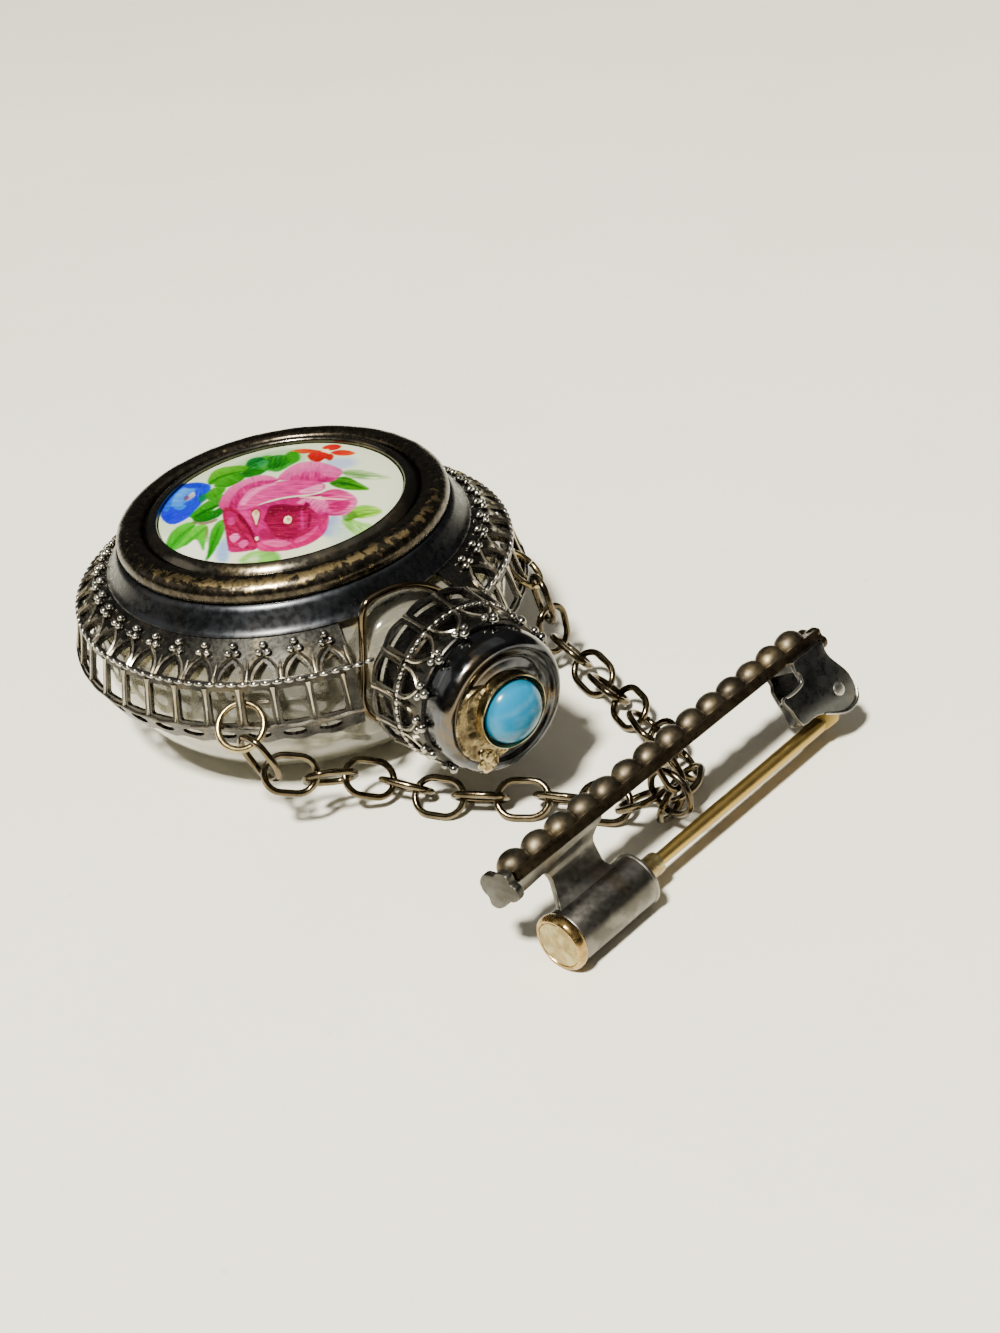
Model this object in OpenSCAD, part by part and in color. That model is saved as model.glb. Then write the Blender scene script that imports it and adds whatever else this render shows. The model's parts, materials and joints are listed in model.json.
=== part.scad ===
// Bar brooch with a round scent flask hung on two cable chains, lying on a table.
// Units are millimetres, Z is up, and the table is at Z = 0.

/* [Flask] */
// Outer radius of the filigree border
border_r = 18.85; // [18.6:0.05:19]
// Number of filigree bays in a full turn
bays = 42; // [42:1:42]
// Radius of the porcelain plaque
plaque_r = 10.1; // [9.6:0.05:10.15]
// Wall of the glass
wall = 1.3; // [0.8:0.1:2]

/* [Cap] */
// Radius of the turquoise
stone_r = 2.5; // [2.2:0.05:2.6]
// How far the cap stands out of its closed place
cap_out = 0; // [0:0.5:7]

/* [Chain] */
// Wire of the chain links
link_wire = 0.56; // [0.4:0.02:0.6]
// Wire of the jump rings
ring_wire = 0.54; // [0.4:0.02:0.56]

/* [Brooch] */
// Half the length of the bar
bar_half = 17.3; // [17.2:0.05:17.4]
// Radius of the beads on the bar
bead_r = 1.16; // [1:0.02:1.18]
// How far the tube clasp's sleeve is drawn out
clasp_out = 0; // [0:0.1:2.6]
// How far the pin is swung open
pin_open = 0; // [0:1:55]

/* [Hidden] */
HOME = [11.645, -11.6535, 0];  // middle of the whole piece, seen from the flask axis
NECK = -57.2;                 // turn of the flask's neck
NECK_Z = 10;
PITCH = 360 / bays;
BARE = 18.5;                  // half angle of the filigree's gap at the neck
ARCH_TURN = 2.4;              // turn of the arches against the windows below them
LOOP_ROLL = -12;              // roll of the neck wire about the neck
BAR_AT = [26.49, -28.21, 6.67];
BAR_TURN = 42.08;
BAR_LEAN = -31;
PIN_W = 5.33;                 // pin and tube clasp below the bar's back
RIVET = [15.95, 3.55];
RING_R = 1.84;
LINK_L = 4.65;
LINK_W = 3.45;
BEADS = 14;
BEAD_PITCH = 2.426;

// Links as middle, turn, slope and roll.
LEFT = [
    [-3.72, -20.39, 7.22, -28.5, -61.1, -70.7],
    [-1.69, -20.54, 5.41, 6.8, -21.3, 66.8],
    [1.12, -19.68, 3.94, 26.2, -24.3, -42.9],
    [3.96, -18.62, 2.49, 11.6, -27.3, 44.9],
    [6.67, -18.91, 1.41, -24.5, -9.8, -44.2],
    [9.11, -20.93, 1.31, -27.6, -0.6, 44.8],
    [12.23, -21.82, 1.32, -17, -0.9, -45.1],
    [15.44, -22.92, 1.29, -16.4, -0, 44.3],
    [18.42, -23.76, 1.38, -22, -1.5, -44.9],
    [21.46, -25.23, 1.38, -28.2, 4.8, 46.2],
    [24.05, -26.93, 2.37, -38.4, 30.8, -9.6],
];
RIGHT = [
    [19.74, -4.48, 7.41, -52.1, -74.6, -70.5],
    [20.23, -4.17, 4.2, -62.1, -83.8, -11.4],
    [21.45, -4.97, 2.24, -52.1, -21.5, -47.5],
    [22.85, -7.62, 1.47, -61.7, -14.7, 44.1],
    [23.78, -10.07, 1.34, -67.2, -1.9, -45],
    [25.07, -13.19, 1.31, -70.9, -0.5, 44.5],
    [26.02, -16.42, 1.3, -76.4, -4.1, -42.2],
    [27.02, -18.86, 1.44, -74.4, -0.9, 45.1],
    [27.83, -21.72, 1.42, -85.5, -0.9, -45.8],
    [27.7, -24.65, 1.55, -103.6, 8.1, 33.6],
    [26.36, -27.25, 2.01, -120.1, 26, -108.2],
];

function numbered(name, i) = str(name, i < 10 ? "0" : "", i);

NODES = concat(
    ["flask_glass", "gallery", "neck_wire", "plaque", "cap", "stone_cup", "turquoise",
     "stopper_plug", "jump_ring_left", "jump_ring_right"],
    [for (i = [1 : len(LEFT)]) numbered("left_link_", i)],
    [for (i = [1 : len(RIGHT)]) numbered("right_link_", i)],
    ["bar_ring", "bar_frame", "rivet", "pin_stem", "clasp_slider"]);
echo(NODES = NODES);

SILVER = [0.30, 0.29, 0.28];
BRASS = [0.60, 0.47, 0.24];
GLASS = [0.60, 0.58, 0.45, 0.6];

function arc(cx, cy, rx, ry, a0, a1, n) =
    [for (i = [0 : n]) let (a = a0 + (a1 - a0) * i / n) [cx + rx * cos(a), cy + ry * sin(a)]];

// Places a solid drawn about the flask's axis.
module placed() translate(-HOME) children();

// Places a solid drawn along the neck: Z runs out of the neck, -X is up.
module on_neck() placed() translate([0, 0, NECK_Z]) rotate([0, 0, NECK]) rotate([0, 90, 0]) children();

// Places a solid drawn on the bar: X along it, Z out of its beaded face.
module on_bar() placed() translate(BAR_AT) rotate([0, 0, BAR_TURN]) rotate([BAR_LEAN, 0, 0]) children();

// Round bar of length h and radius r across the bar, on the hinge's rivet.
module at_rivet(h, r) translate([RIVET[0], 0, -RIVET[1]]) rotate([90, 0, 0])
    cylinder(h = h, r = r, center = true, $fn = 24);

// Outline on the bar's length and depth below its back, as a plate across the bar.
module plate(points, half) rotate([90, 0, 0]) linear_extrude(2 * half, center = true)
    polygon([for (p = points) [p[0], -p[1]]]);

// Round wire of radius r with m sides, along a closed flat row of points.
module wire_loop(path, normal, r, m) {
    n = len(path);
    pts = [for (i = [0 : n - 1]) let (
            t = path[(i + 1) % n] - path[(i + n - 1) % n],
            d = t / norm(t), o = cross(d, normal))
        for (k = [0 : m - 1]) let (a = 360 * (k + 0.5) / m) path[i] + r * (cos(a) * o + sin(a) * normal)];
    faces = [for (i = [0 : n - 1], k = [0 : m - 1])
        each [[i * m + k, i * m + (k + 1) % m, ((i + 1) % n) * m + k],
              [i * m + (k + 1) % m, ((i + 1) % n) * m + (k + 1) % m, ((i + 1) % n) * m + k]]];
    polyhedron(pts, faces, convexity = 8);
}

// ---- flask ----

BODY = concat([[0, 0], [9.3, 0]], arc(9.5, 8.6, 7.6, 8.6, -84, 0, 8),
    [[17.1, 11.6], [14.6, 13.6], [12, 14], [0, 14.2]]);
HOLLOW = concat([[0, wall + 0.4], [8.6, wall + 0.4]], arc(9.2, 8.6, 7.9 - wall, 8.6 - wall, -80, 0, 7),
    [[17.1 - wall, 11], [14.2, 12.3], [12, 12.7], [0, 12.9]]);

module flask_glass() placed() color(GLASS) difference() {
    union() {
        intersection() {
            rotate_extrude($fn = 96) polygon(BODY);
            rotate([0, 0, NECK]) translate([-20, -20, -1]) cube([35, 40, 20]);
        }
        translate([0, 0, NECK_Z]) rotate([0, 0, NECK]) rotate([0, 90, 0])
            translate([0, 0, 10]) cylinder(h = 13.8, r = 3.7, $fn = 48);
    }
    intersection() {
        rotate_extrude($fn = 96) polygon(HOLLOW);
        rotate([0, 0, NECK]) translate([-20, -20, -1]) cube([33.7, 40, 20]);
    }
    translate([0, 0, NECK_Z]) rotate([0, 0, NECK]) rotate([0, 90, 0])
        translate([0, 0, 12]) cylinder(h = 14, r = 1.85, $fn = 36);
}

BEZEL = concat([[9.3, 16.4], [9.3, 16.7], [10.2, 16.7], [10.2, 18.1], [10.35, 18.3], [10.6, 18.3],
    [10.95, 18.1], [11.35, 17.74]], arc(12.4, 17, 1.35, 1.15, 135, -25, 9),
    [[13.85, 16.45], [14.35, 15.6], [15, 14.5], [14.6, 14.3], [13.95, 15.5], [13.4, 16.2], [13.2, 16.4]]);
BAND = [[15, 14.4], [18.15, 12.25], [border_r + 0.1, 8.75], [17.5, 6.7],
    [17.2, 6.95], [border_r - 0.2, 8.75], [17.82, 12.1], [14.8, 14.15]];
ARCH = [[-0.95, 0.5], [0.95, 0.5], [0.88, 0.95], [0.55, 1.6], [0, 2.2], [-0.55, 1.6], [-0.88, 0.95]];
OVAL = [[-0.75, 0], [-0.4, -0.34], [0.4, -0.34], [0.75, 0], [0.4, 0.34], [-0.4, 0.34]];

module turned_band() rotate([0, 0, NECK + BARE]) rotate_extrude(angle = 360 - 2 * BARE, $fn = 96) children();

// One bay is a window over an oval in the skirt, with a pointed arch above it, a little to one side.
module bay() {
    translate([18.35, 0, 10.45]) rotate([0, -12.9, 0]) cube([1.8, 2.15, 2.6], center = true);
    translate([18.2, 0, 7.85]) rotate([0, 35.3, 0]) rotate([90, 0, 90])
        linear_extrude(1.6, center = true) polygon(OVAL);
    rotate([0, 0, ARCH_TURN]) translate([18, 0, 12.25]) rotate([0, -54.1, 0]) rotate([90, 0, 90])
        linear_extrude(2, center = true) polygon(ARCH);
}

module gallery() placed() color(SILVER) {
    rotate_extrude($fn = 96) polygon(BEZEL);
    rotate_extrude($fn = 96) translate([14.85, 14.3]) circle(r = 0.3, $fn = 16);
    difference() {
        turned_band() polygon(BAND);
        for (k = [3 : bays - 3]) rotate([0, 0, NECK + k * PITCH]) bay();
    }
    turned_band() translate([18, 12.2]) circle(r = 0.3, $fn = 16);
    turned_band() translate([border_r, 8.7]) circle(r = 0.25, $fn = 16);
}

module plaque() placed() color([0.82, 0.77, 0.66])
    rotate_extrude($fn = 96) polygon(concat([[0, 16.78], [plaque_r, 16.78], [plaque_r, 17.88]],
        [for (i = [1 : 6]) [plaque_r * (1 - i / 6), 18.3 - 0.42 * pow(1 - i / 6, 2)]]));

// The neck wire's middle: across and up from the neck's middle, before it is rolled.
LOOP = [[-4.2, -3.2], [-4.15, -1.5], [-4.15, 0.6], [-4.22, 2.4], [-4.25, 3.7], [-4.12, 4.65],
    [-3.6, 5.2], [-2.55, 5.5], [-1.35, 5.65], [-0.1, 5.6], [1.1, 5.3], [2.25, 4.78], [3.25, 4.05],
    [3.95, 3.05], [4.25, 1.8], [4.3, 0], [4.3, -2], [4.2, -3.5], [3.7, -4.6], [2.7, -5.25],
    [1.2, -5.45], [-0.6, -5.5], [-2.3, -5.35], [-3.5, -4.6]];

module neck_wire() on_neck() color(BRASS) rotate([0, 0, LOOP_ROLL])
    wire_loop([for (p = LOOP) [-p[1], p[0], 15.6]], [0, 0, 1], 0.32, 8);

// ---- cap ----

module tube_between(s0, r0, s1, r1, t) difference() {
    translate([0, 0, s0]) cylinder(h = s1 - s0, r1 = r0, r2 = r1, $fn = 72);
    translate([0, 0, s0 - 0.01]) cylinder(h = s1 - s0 + 0.02, r1 = r0 - t, r2 = r1 - t, $fn = 72);
}

module cap() translate(cap_out * [cos(NECK), sin(NECK), 0]) on_neck() color(SILVER) {
    rotate_extrude($fn = 72) polygon([[4.35, 19.9], [5.35, 19.9], [5.6, 21], [5.6, 27], [5.4, 27.8],
        [5.1, 27.8], [4.7, 27.5], [0, 27.5], [0, 26], [4.35, 26]]);
    difference() {
        tube_between(19.8, 6.45, 24.3, 5.97, 0.34);
        for (k = [0 : 11]) rotate([0, 0, 30 * k + 17]) {
            translate([6.2, 0, 21.1]) cube([1.4, 2.4, 1.6], center = true);
            translate([6, 0, 22.2]) rotate([90, 0, 90]) linear_extrude(1.4, center = true)
                polygon([[-0.95, 0.2], [0.95, 0.2], [0.8, 0.9], [0, 1.55], [-0.8, 0.9]]);
        }
    }
    rotate_extrude($fn = 72) translate([6.28, 19.85]) circle(r = 0.3, $fn = 16);
    translate([0, 0, 24]) difference() {
        cylinder(h = 0.5, r = 6.05, $fn = 72);
        translate([0, 0, -1]) cylinder(h = 2, r = 5.4, $fn = 72);
    }
}

module stone_cup() translate(cap_out * [cos(NECK), sin(NECK), 0]) on_neck() color(BRASS)
    rotate_extrude($fn = 72) polygon([[0, 27.6], [4.6, 27.6], [4.85, 27.9], [3.5, 28.25], [3.3, 28.7],
        [stone_r + 0.1, 28.95], [stone_r + 0.1, 28], [0, 28]]);

module turquoise() translate(cap_out * [cos(NECK), sin(NECK), 0]) on_neck() color([0.16, 0.6, 0.72])
    rotate_extrude($fn = 60) polygon(concat([[0, 28.1], [stone_r, 28.1], [stone_r, 28.5]],
        arc(0, 28.5, stone_r, 1.55, 9, 90, 9)));

module stopper_plug() translate(cap_out * [cos(NECK), sin(NECK), 0]) on_neck() color([0.72, 0.68, 0.6]) {
    translate([0, 0, 17]) cylinder(h = 8, r = 1.75, $fn = 36);
    translate([0, 0, 23.9]) cylinder(h = 1.98, r = 3.9, $fn = 48);
}

// ---- rings and links ----

module ring() rotate_extrude($fn = 48) translate([RING_R, 0]) circle(d = ring_wire, $fn = 16);

// Ring through the filigree beside bar k, hung at r and z, its outer side tipped down.
module side_ring(k, r, z, tip) placed() color(BRASS)
    rotate([0, 0, NECK + k * PITCH]) translate([r, 0, z]) rotate([0, tip, 0]) ring();

module jump_ring_left() side_ring(-5.5, 19.2, 9.18, 40);
module jump_ring_right() side_ring(5.5, 18.8, 9.8, 45);

END_R = (LINK_W - link_wire) / 2;
END_X = (LINK_L - LINK_W) / 2;
LINK_PATH = [for (s = [1, -1], i = [0 : 7]) let (a = 180 * i / 7 - 90)
    s * [END_X + END_R * cos(a), END_R * sin(a), 0]];

module link(v) placed() color(SILVER)
    translate([v[0], v[1], v[2]]) rotate([0, -v[4], v[3]]) rotate([v[5], 0, 0])
        wire_loop(LINK_PATH, [0, 0, 1], link_wire / 2, 6);

module bar_ring() placed() color(BRASS) translate([26.12, -28.84, 4.06])
    rotate([0, 0, BAR_TURN]) rotate([0, 90, 0]) ring();

// ---- brooch ----

LEG = [[-17.4, -0.45], [-17.4, 0.72], [-14.7, 0.66], [-14.3, 0.98], [-14.45, 2], [-14.9, 3.05],
    [-15.2, 5.3], [-8.6, 5.3], [-9.3, 3.6], [-9.8, 2.75], [-9.8, 2.3], [-9.75, 1.4], [-9.6, 0.8],
    [-9.1, 0.2], [-8.6, -0.1], [-8.6, -0.45]];
EAR = [[13.15, -0.3], [16.8, -0.3], [16.75, 0.5], [16.85, 1.2], [17.4, 2.25], [17.77, 3.15],
    [17.7, 4.35], [17.3, 5.05], [16.5, 5.35], [15.3, 5.25], [13.6, 4.4], [12.3, 4.1], [11.1, 4.05],
    [10.8, 2.6], [10.5, 1.75], [10.85, 1.4], [11.75, 1.55], [12.85, 1.4], [13.1, 0.95]];
HEEL = [[14, 4.75], [14, 5.9], [15.6, 5.95], [16.6, 5], [16.9, 3.6], [15.95, 2.5], [14.9, 3.2]];

module strip() {
    translate([-bar_half, -1.25, 0.28]) cube([2 * bar_half, 2.5, 0.46]);
    difference() {
        for (i = [0 : BEADS - 1]) translate([(i - (BEADS - 1) / 2) * BEAD_PITCH, 0, 0.72])
            sphere(r = bead_r, $fn = 32);
        translate([-20, -2, -2]) cube([40, 4, 2.3]);
    }
    for (s = [-1, 1]) translate([s * 17.6, 0, 0.25]) rotate([0, 90, 0]) {
        for (a = [-1, 1], b = [-1, 1]) translate([a * 0.68, b * 0.95, 0])
            cylinder(h = 0.7, r = 0.75, center = true, $fn = 24);
        cube([1.5, 2, 0.7], center = true);
    }
}

module clasp_tube() {
    difference() {
        union() {
            plate(LEG, 0.3);
            translate([-15.3, 0, -PIN_W]) rotate([0, 90, 0]) cylinder(h = 7.5, r = 2.05, $fn = 36);
        }
        translate([-16, 0, -PIN_W]) rotate([0, 90, 0]) cylinder(h = 9, r = 1.72, $fn = 36);
    }
}

module hinge_box() {
    difference() {
        for (s = [-1, 1]) translate([0, s * 1.575, 0]) plate(EAR, 0.225);
        at_rivet(6, 0.5);
    }
    translate([10.95, -1.5, -4]) cube([0.45, 3, 2.2]);
    translate([13.2, -1.7, -0.45]) cube([3.55, 3.4, 0.8]);
}

// Loop on the bar's back that holds the chain's ring.
module chain_tab() translate([-0.7, 0, -1.35]) {
    for (s = [-1, 1]) translate([s * 0.8, 0, 0]) cylinder(h = 1.8, r = 0.26, $fn = 16);
    rotate([-90, 0, 0]) rotate_extrude(angle = 180, $fn = 36)
        translate([0.8, 0]) circle(r = 0.26, $fn = 16);
}

module bar_frame() on_bar() color(SILVER) {
    strip();
    clasp_tube();
    hinge_box();
    chain_tab();
}

module rivet() on_bar() color([0.7, 0.68, 0.62]) at_rivet(3.9, 0.45);

module pin_stem() on_bar() color(BRASS)
    translate([RIVET[0], 0, -RIVET[1]]) rotate([0, -pin_open, 0]) translate([-RIVET[0], 0, RIVET[1]])
        difference() {
            union() {
                translate([-7.3, 0, -PIN_W]) rotate([0, 90, 0])
                    cylinder(h = 21.6, r1 = 0.42, r2 = 0.64, $fn = 24);
                translate([-7.3, 0, -PIN_W]) sphere(r = 0.42, $fn = 24);
                plate(HEEL, 0.65);
                at_rivet(1.3, 1.2);
            }
            at_rivet(3, 0.5);
        }

module clasp_slider() on_bar() color(BRASS)
    translate([-clasp_out, 0, -PIN_W]) difference() {
        union() {
            rotate([0, 90, 0]) rotate_extrude($fn = 48) polygon([[0, -16.6], [1.2, -16.45], [1.8, -16.15],
                [2.1, -15.8], [2.1, -15.5], [1.95, -15.38], [1.62, -15.36], [1.62, -8.6], [0.85, -8.55],
                [0.85, -5.6], [0, -5.6]]);
        }
        translate([-8.6, 0, 0]) rotate([0, 90, 0]) cylinder(h = 4, r = 0.6, $fn = 24);
        translate([-8.6, -0.525, -2]) cube([4, 1.05, 2]);
    }

flask_glass();
gallery();
neck_wire();
plaque();
cap();
stone_cup();
turquoise();
stopper_plug();
jump_ring_left();
jump_ring_right();
for (i = [1 : len(LEFT)]) link(LEFT[i - 1]);
for (i = [1 : len(RIGHT)]) link(RIGHT[i - 1]);
bar_ring();
bar_frame();
rivet();
pin_stem();
clasp_slider();
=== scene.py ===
"""Bar brooch with a round scent flask hung on two chains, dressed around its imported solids.

Sizes are millimetres in the flask's, the neck's or the bar's own axes until a piece is placed,
which turns them into the frame's metres.
"""

import json
import logging
import math
from dataclasses import dataclass, field, replace
from enum import Enum
from typing import Callable, Sequence

import bmesh
import bpy
import numpy as np
from mathutils import Matrix, Vector, noise

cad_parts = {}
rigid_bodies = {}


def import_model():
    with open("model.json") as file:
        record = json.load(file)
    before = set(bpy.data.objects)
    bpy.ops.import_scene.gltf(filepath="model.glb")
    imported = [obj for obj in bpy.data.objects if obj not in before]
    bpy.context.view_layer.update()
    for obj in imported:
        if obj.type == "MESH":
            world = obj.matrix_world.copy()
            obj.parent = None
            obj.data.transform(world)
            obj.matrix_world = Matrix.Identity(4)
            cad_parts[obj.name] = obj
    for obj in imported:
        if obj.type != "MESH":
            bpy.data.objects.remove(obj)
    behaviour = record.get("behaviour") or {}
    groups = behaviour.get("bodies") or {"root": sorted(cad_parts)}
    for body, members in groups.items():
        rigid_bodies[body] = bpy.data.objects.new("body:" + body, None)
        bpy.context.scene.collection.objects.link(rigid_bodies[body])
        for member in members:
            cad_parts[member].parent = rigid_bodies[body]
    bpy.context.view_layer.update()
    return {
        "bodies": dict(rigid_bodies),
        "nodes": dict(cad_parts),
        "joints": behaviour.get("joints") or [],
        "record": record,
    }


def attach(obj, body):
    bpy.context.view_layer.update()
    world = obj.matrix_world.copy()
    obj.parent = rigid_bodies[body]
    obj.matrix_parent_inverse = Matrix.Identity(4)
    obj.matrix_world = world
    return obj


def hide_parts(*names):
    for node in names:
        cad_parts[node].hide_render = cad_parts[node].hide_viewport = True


LOG = logging.getLogger("brooch")
MM = 0.001
Colour = tuple[float, float, float]
Point2 = tuple[float, float]

# The frame's origin lies at HOME in the flask's own axes. The neck points along NECK_TURN, in degrees.
HOME = Vector((11.645, -11.6535, 0.0))
NECK_TURN = -57.2
NECK_HEIGHT = 10.0
# The bar's middle in the flask's axes, and its turn and tilt in degrees.
BAR_MIDDLE = Vector((26.49, -28.21, 6.67))
BAR_TURN = 42.08
BAR_TILT = -31.0
# The plaque's face is a shallow dome.
PLAQUE_RADIUS = 10.12
PLAQUE_TOP = 18.3
PLAQUE_SAG = 0.42
FLASK = Matrix.Scale(MM, 4) @ Matrix.Translation(-HOME)
NECK = (FLASK @ Matrix.Translation((0, 0, NECK_HEIGHT))
        @ Matrix.Rotation(math.radians(NECK_TURN), 4, "Z") @ Matrix.Rotation(math.radians(90), 4, "Y"))
BAR = (FLASK @ Matrix.Translation(BAR_MIDDLE) @ Matrix.Rotation(math.radians(BAR_TURN), 4, "Z")
       @ Matrix.Rotation(math.radians(BAR_TILT), 4, "X"))
UP = Vector((0, 0, 1))


def arc(cx: float, cy: float, rx: float, ry: float, a0: float, a1: float, n: int) -> list[Point2]:
    """Points of an ellipse's arc.

    Args:
        cx, cy: Centre.
        rx, ry: Half axes.
        a0, a1: First and last angle in degrees.
        n: Steps between them.
    Returns:
        The n + 1 points in order.
    """
    steps = [math.radians(a0 + (a1 - a0) * i / n) for i in range(n + 1)]
    return [(cx + rx * math.cos(a), cy + ry * math.sin(a)) for a in steps]


def turned_by(angle: float, axis: str = "Z") -> Matrix:
    """A turn by an angle in degrees about an axis."""
    return Matrix.Rotation(math.radians(angle), 4, axis)


def dome(r: float) -> float:
    """Height of the plaque's face at a distance from its middle."""
    return PLAQUE_TOP - PLAQUE_SAG * (r / PLAQUE_RADIUS) ** 2


class Graph:
    """A material's node tree, with short calls for the nodes that the finishes share."""

    def __init__(self, name: str) -> None:
        """Makes an empty material with its shader and output.

        Args:
            name: The finish's name.
        """
        self.material = bpy.data.materials.new(f"{name}_skin")
        self.material.use_nodes = True
        self.tree = self.material.node_tree
        self.tree.nodes.clear()
        self.shader = self.node("ShaderNodeBsdfPrincipled")
        out = self.node("ShaderNodeOutputMaterial")
        self.link(self.shader.outputs[0], out.inputs["Surface"])
        self.coords = self.node("ShaderNodeTexCoord").outputs["Object"]

    def node(self, kind: str, **settings: object) -> bpy.types.Node:
        """Adds a node and sets its properties.

        Args:
            kind: The node's type.
            settings: Its properties.
        Returns:
            The node.
        """
        made = self.tree.nodes.new(kind)
        for key, value in settings.items():
            setattr(made, key, value)
        return made

    def link(self, source: object, target: object) -> None:
        """Joins two sockets, or sets the target to a plain value.

        Args:
            source: Socket, number or colour.
            target: Socket that takes it.
        """
        if isinstance(source, bpy.types.NodeSocket):
            self.tree.links.new(source, target)
        elif isinstance(source, tuple) and len(source) == 3 and target.type == "RGBA":
            target.default_value = (*source, 1.0)
        else:
            target.default_value = source

    def noise(self, size: float, detail: float = 4.0, rough: float = 0.55, bend: float = 0.0,
              at: object = None) -> object:
        """Noise whose patches are about size millimetres across.

        Args:
            size: Patch size.
            detail: Octaves.
            rough: Weight of the fine octaves.
            bend: Distortion.
            at: Coordinates, or the object's own.
        Returns:
            The noise's value socket.
        """
        tex = self.node("ShaderNodeTexNoise")
        self.link(at or self.coords, tex.inputs["Vector"])
        for key, value in (("Scale", 1 / (size * MM)), ("Detail", detail), ("Roughness", rough),
                           ("Distortion", bend)):
            tex.inputs[key].default_value = value
        return tex.outputs["Fac"]

    def attribute(self, name: str, output: str = "Fac") -> object:
        """Reads a mesh attribute."""
        return self.node("ShaderNodeAttribute", attribute_name=name).outputs[output]

    def span(self, value: object, low: float, high: float, to_low: float = 0.0,
             to_high: float = 1.0) -> object:
        """Maps a range of a value to another range, smoothly and clamped.

        Args:
            value: Socket to map.
            low, high: Range of the value.
            to_low, to_high: Range that it becomes.
        Returns:
            The mapped socket.
        """
        made = self.node("ShaderNodeMapRange", interpolation_type="SMOOTHSTEP")
        for index, item in enumerate((value, low, high, to_low, to_high)):
            self.link(item, made.inputs[index])
        return made.outputs[0]

    def sum(self, a: object, b: object, how: str = "ADD") -> object:
        """Joins two values with a math step.

        Args:
            a, b: Values or sockets.
            how: The step.
        Returns:
            The result's socket.
        """
        made = self.node("ShaderNodeMath", operation=how)
        self.link(a, made.inputs[0])
        self.link(b, made.inputs[1])
        return made.outputs[0]

    def mix(self, a: object, b: object, share: object, how: str = "MIX") -> object:
        """Mixes two colours.

        Args:
            a, b: Colours or sockets.
            share: How much of b.
            how: Blend type.
        Returns:
            The mixed colour's socket.
        """
        made = self.node("ShaderNodeMix", data_type="RGBA", blend_type=how)
        self.link(share, made.inputs[0])
        self.link(a, made.inputs[6])
        self.link(b, made.inputs[7])
        return made.outputs[2]

    def bump(self, height: object, depth: float, strength: float = 1.0) -> None:
        """Lifts the surface by a height.

        Args:
            height: The height's socket.
            depth: How many millimetres a height of 1 is.
            strength: How much of the bump shows.
        """
        made = self.node("ShaderNodeBump")
        made.inputs["Strength"].default_value = strength
        made.inputs["Distance"].default_value = depth * MM
        self.link(height, made.inputs["Height"])
        self.link(made.outputs[0], self.shader.inputs["Normal"])

    def set(self, **values: object) -> None:
        """Sets or joins the shader's sockets, named with _ for a space."""
        for key, value in values.items():
            self.link(value, self.shader.inputs[key.replace("_", " ")])


@dataclass(frozen=True)
class Patina:
    """Worn metal: a skin with soft dark and warm patches, bright on edges and dark in hollows."""

    name: str
    deep: Colour
    base: Colour
    bright: Colour
    warm: Colour
    warm_share: float = 0.4
    patch: float = 2.0
    grain: float = 0.35
    wear: float = 0.7
    rough: float = 0.3
    relief: float = 0.003
    lathe: float = 0.0
    mottle: float = 0.7

    def material(self) -> bpy.types.Material:
        """Builds the finish's material.

        Returns:
            The material.
        """
        g = Graph(self.name)
        fine = g.noise(self.grain, 3, 0.5)
        broad = g.noise(self.patch, 3, 0.5, 0.3)
        edge = g.attribute("edge")
        colour = g.mix(self.base, self.deep, g.span(broad, 0.4, 0.62, 0.0, self.mottle))
        # Warm patches follow noise and the per-point wear attribute, which on the moulding is partly painted
        # highlight at the front.
        drift = g.sum(g.noise(self.patch * 1.6, 4, 0.55, 0.6), g.sum(g.attribute("wear_and_sheen"), 0.35, "MULTIPLY"))
        colour = g.mix(colour, self.warm, g.span(drift, 0.53, 0.64, 0.0, self.warm_share))
        if self.lathe:
            rings = g.noise(1.0, 3, 0.6, 0.0, g.attribute("lathe", "Vector"))
            colour = g.mix(colour, self.bright, g.span(rings, 0.55, 0.75, 0.0, self.lathe))
        rubbed = g.sum(g.span(edge, 0.57, 0.95, 0.0, self.wear), g.span(broad, 0.62, 0.4, 0.45, 1.0),
                       "MULTIPLY")
        colour = g.mix(colour, self.bright, rubbed)
        colour = g.mix(colour, (0.012, 0.011, 0.01), g.span(edge, 0.42, 0.15, 0.0, 0.8))
        g.set(Base_Color=colour, Metallic=1.0,
              Roughness=g.span(fine, 0.3, 0.7, self.rough - 0.05, self.rough + 0.05))
        g.bump(g.sum(fine, g.sum(broad, 1.5, "MULTIPLY")), self.relief)
        return g.material


@dataclass(frozen=True)
class Gem:
    """Polished opaque stone with soft mottling and a clear gloss."""

    name: str
    base: Colour
    pale: Colour
    dark: Colour

    def material(self) -> bpy.types.Material:
        """Builds the finish's material.

        Returns:
            The material.
        """
        g = Graph(self.name)
        cloud = g.noise(1.6, 4, 0.55, 0.6)
        speck = g.noise(0.4, 3, 0.5)
        colour = g.mix(self.base, self.pale, g.span(cloud, 0.45, 0.7, 0.0, 0.8))
        colour = g.mix(colour, self.dark, g.span(speck, 0.6, 0.75, 0.0, 0.35))
        colour = g.mix(colour, self.dark, g.span(g.attribute("rim"), 0.86, 1.0, 0.0, 0.85))
        g.set(Base_Color=colour, Roughness=0.22, Specular_IOR_Level=0.4)
        g.bump(speck, 0.002)
        return g.material


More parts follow.
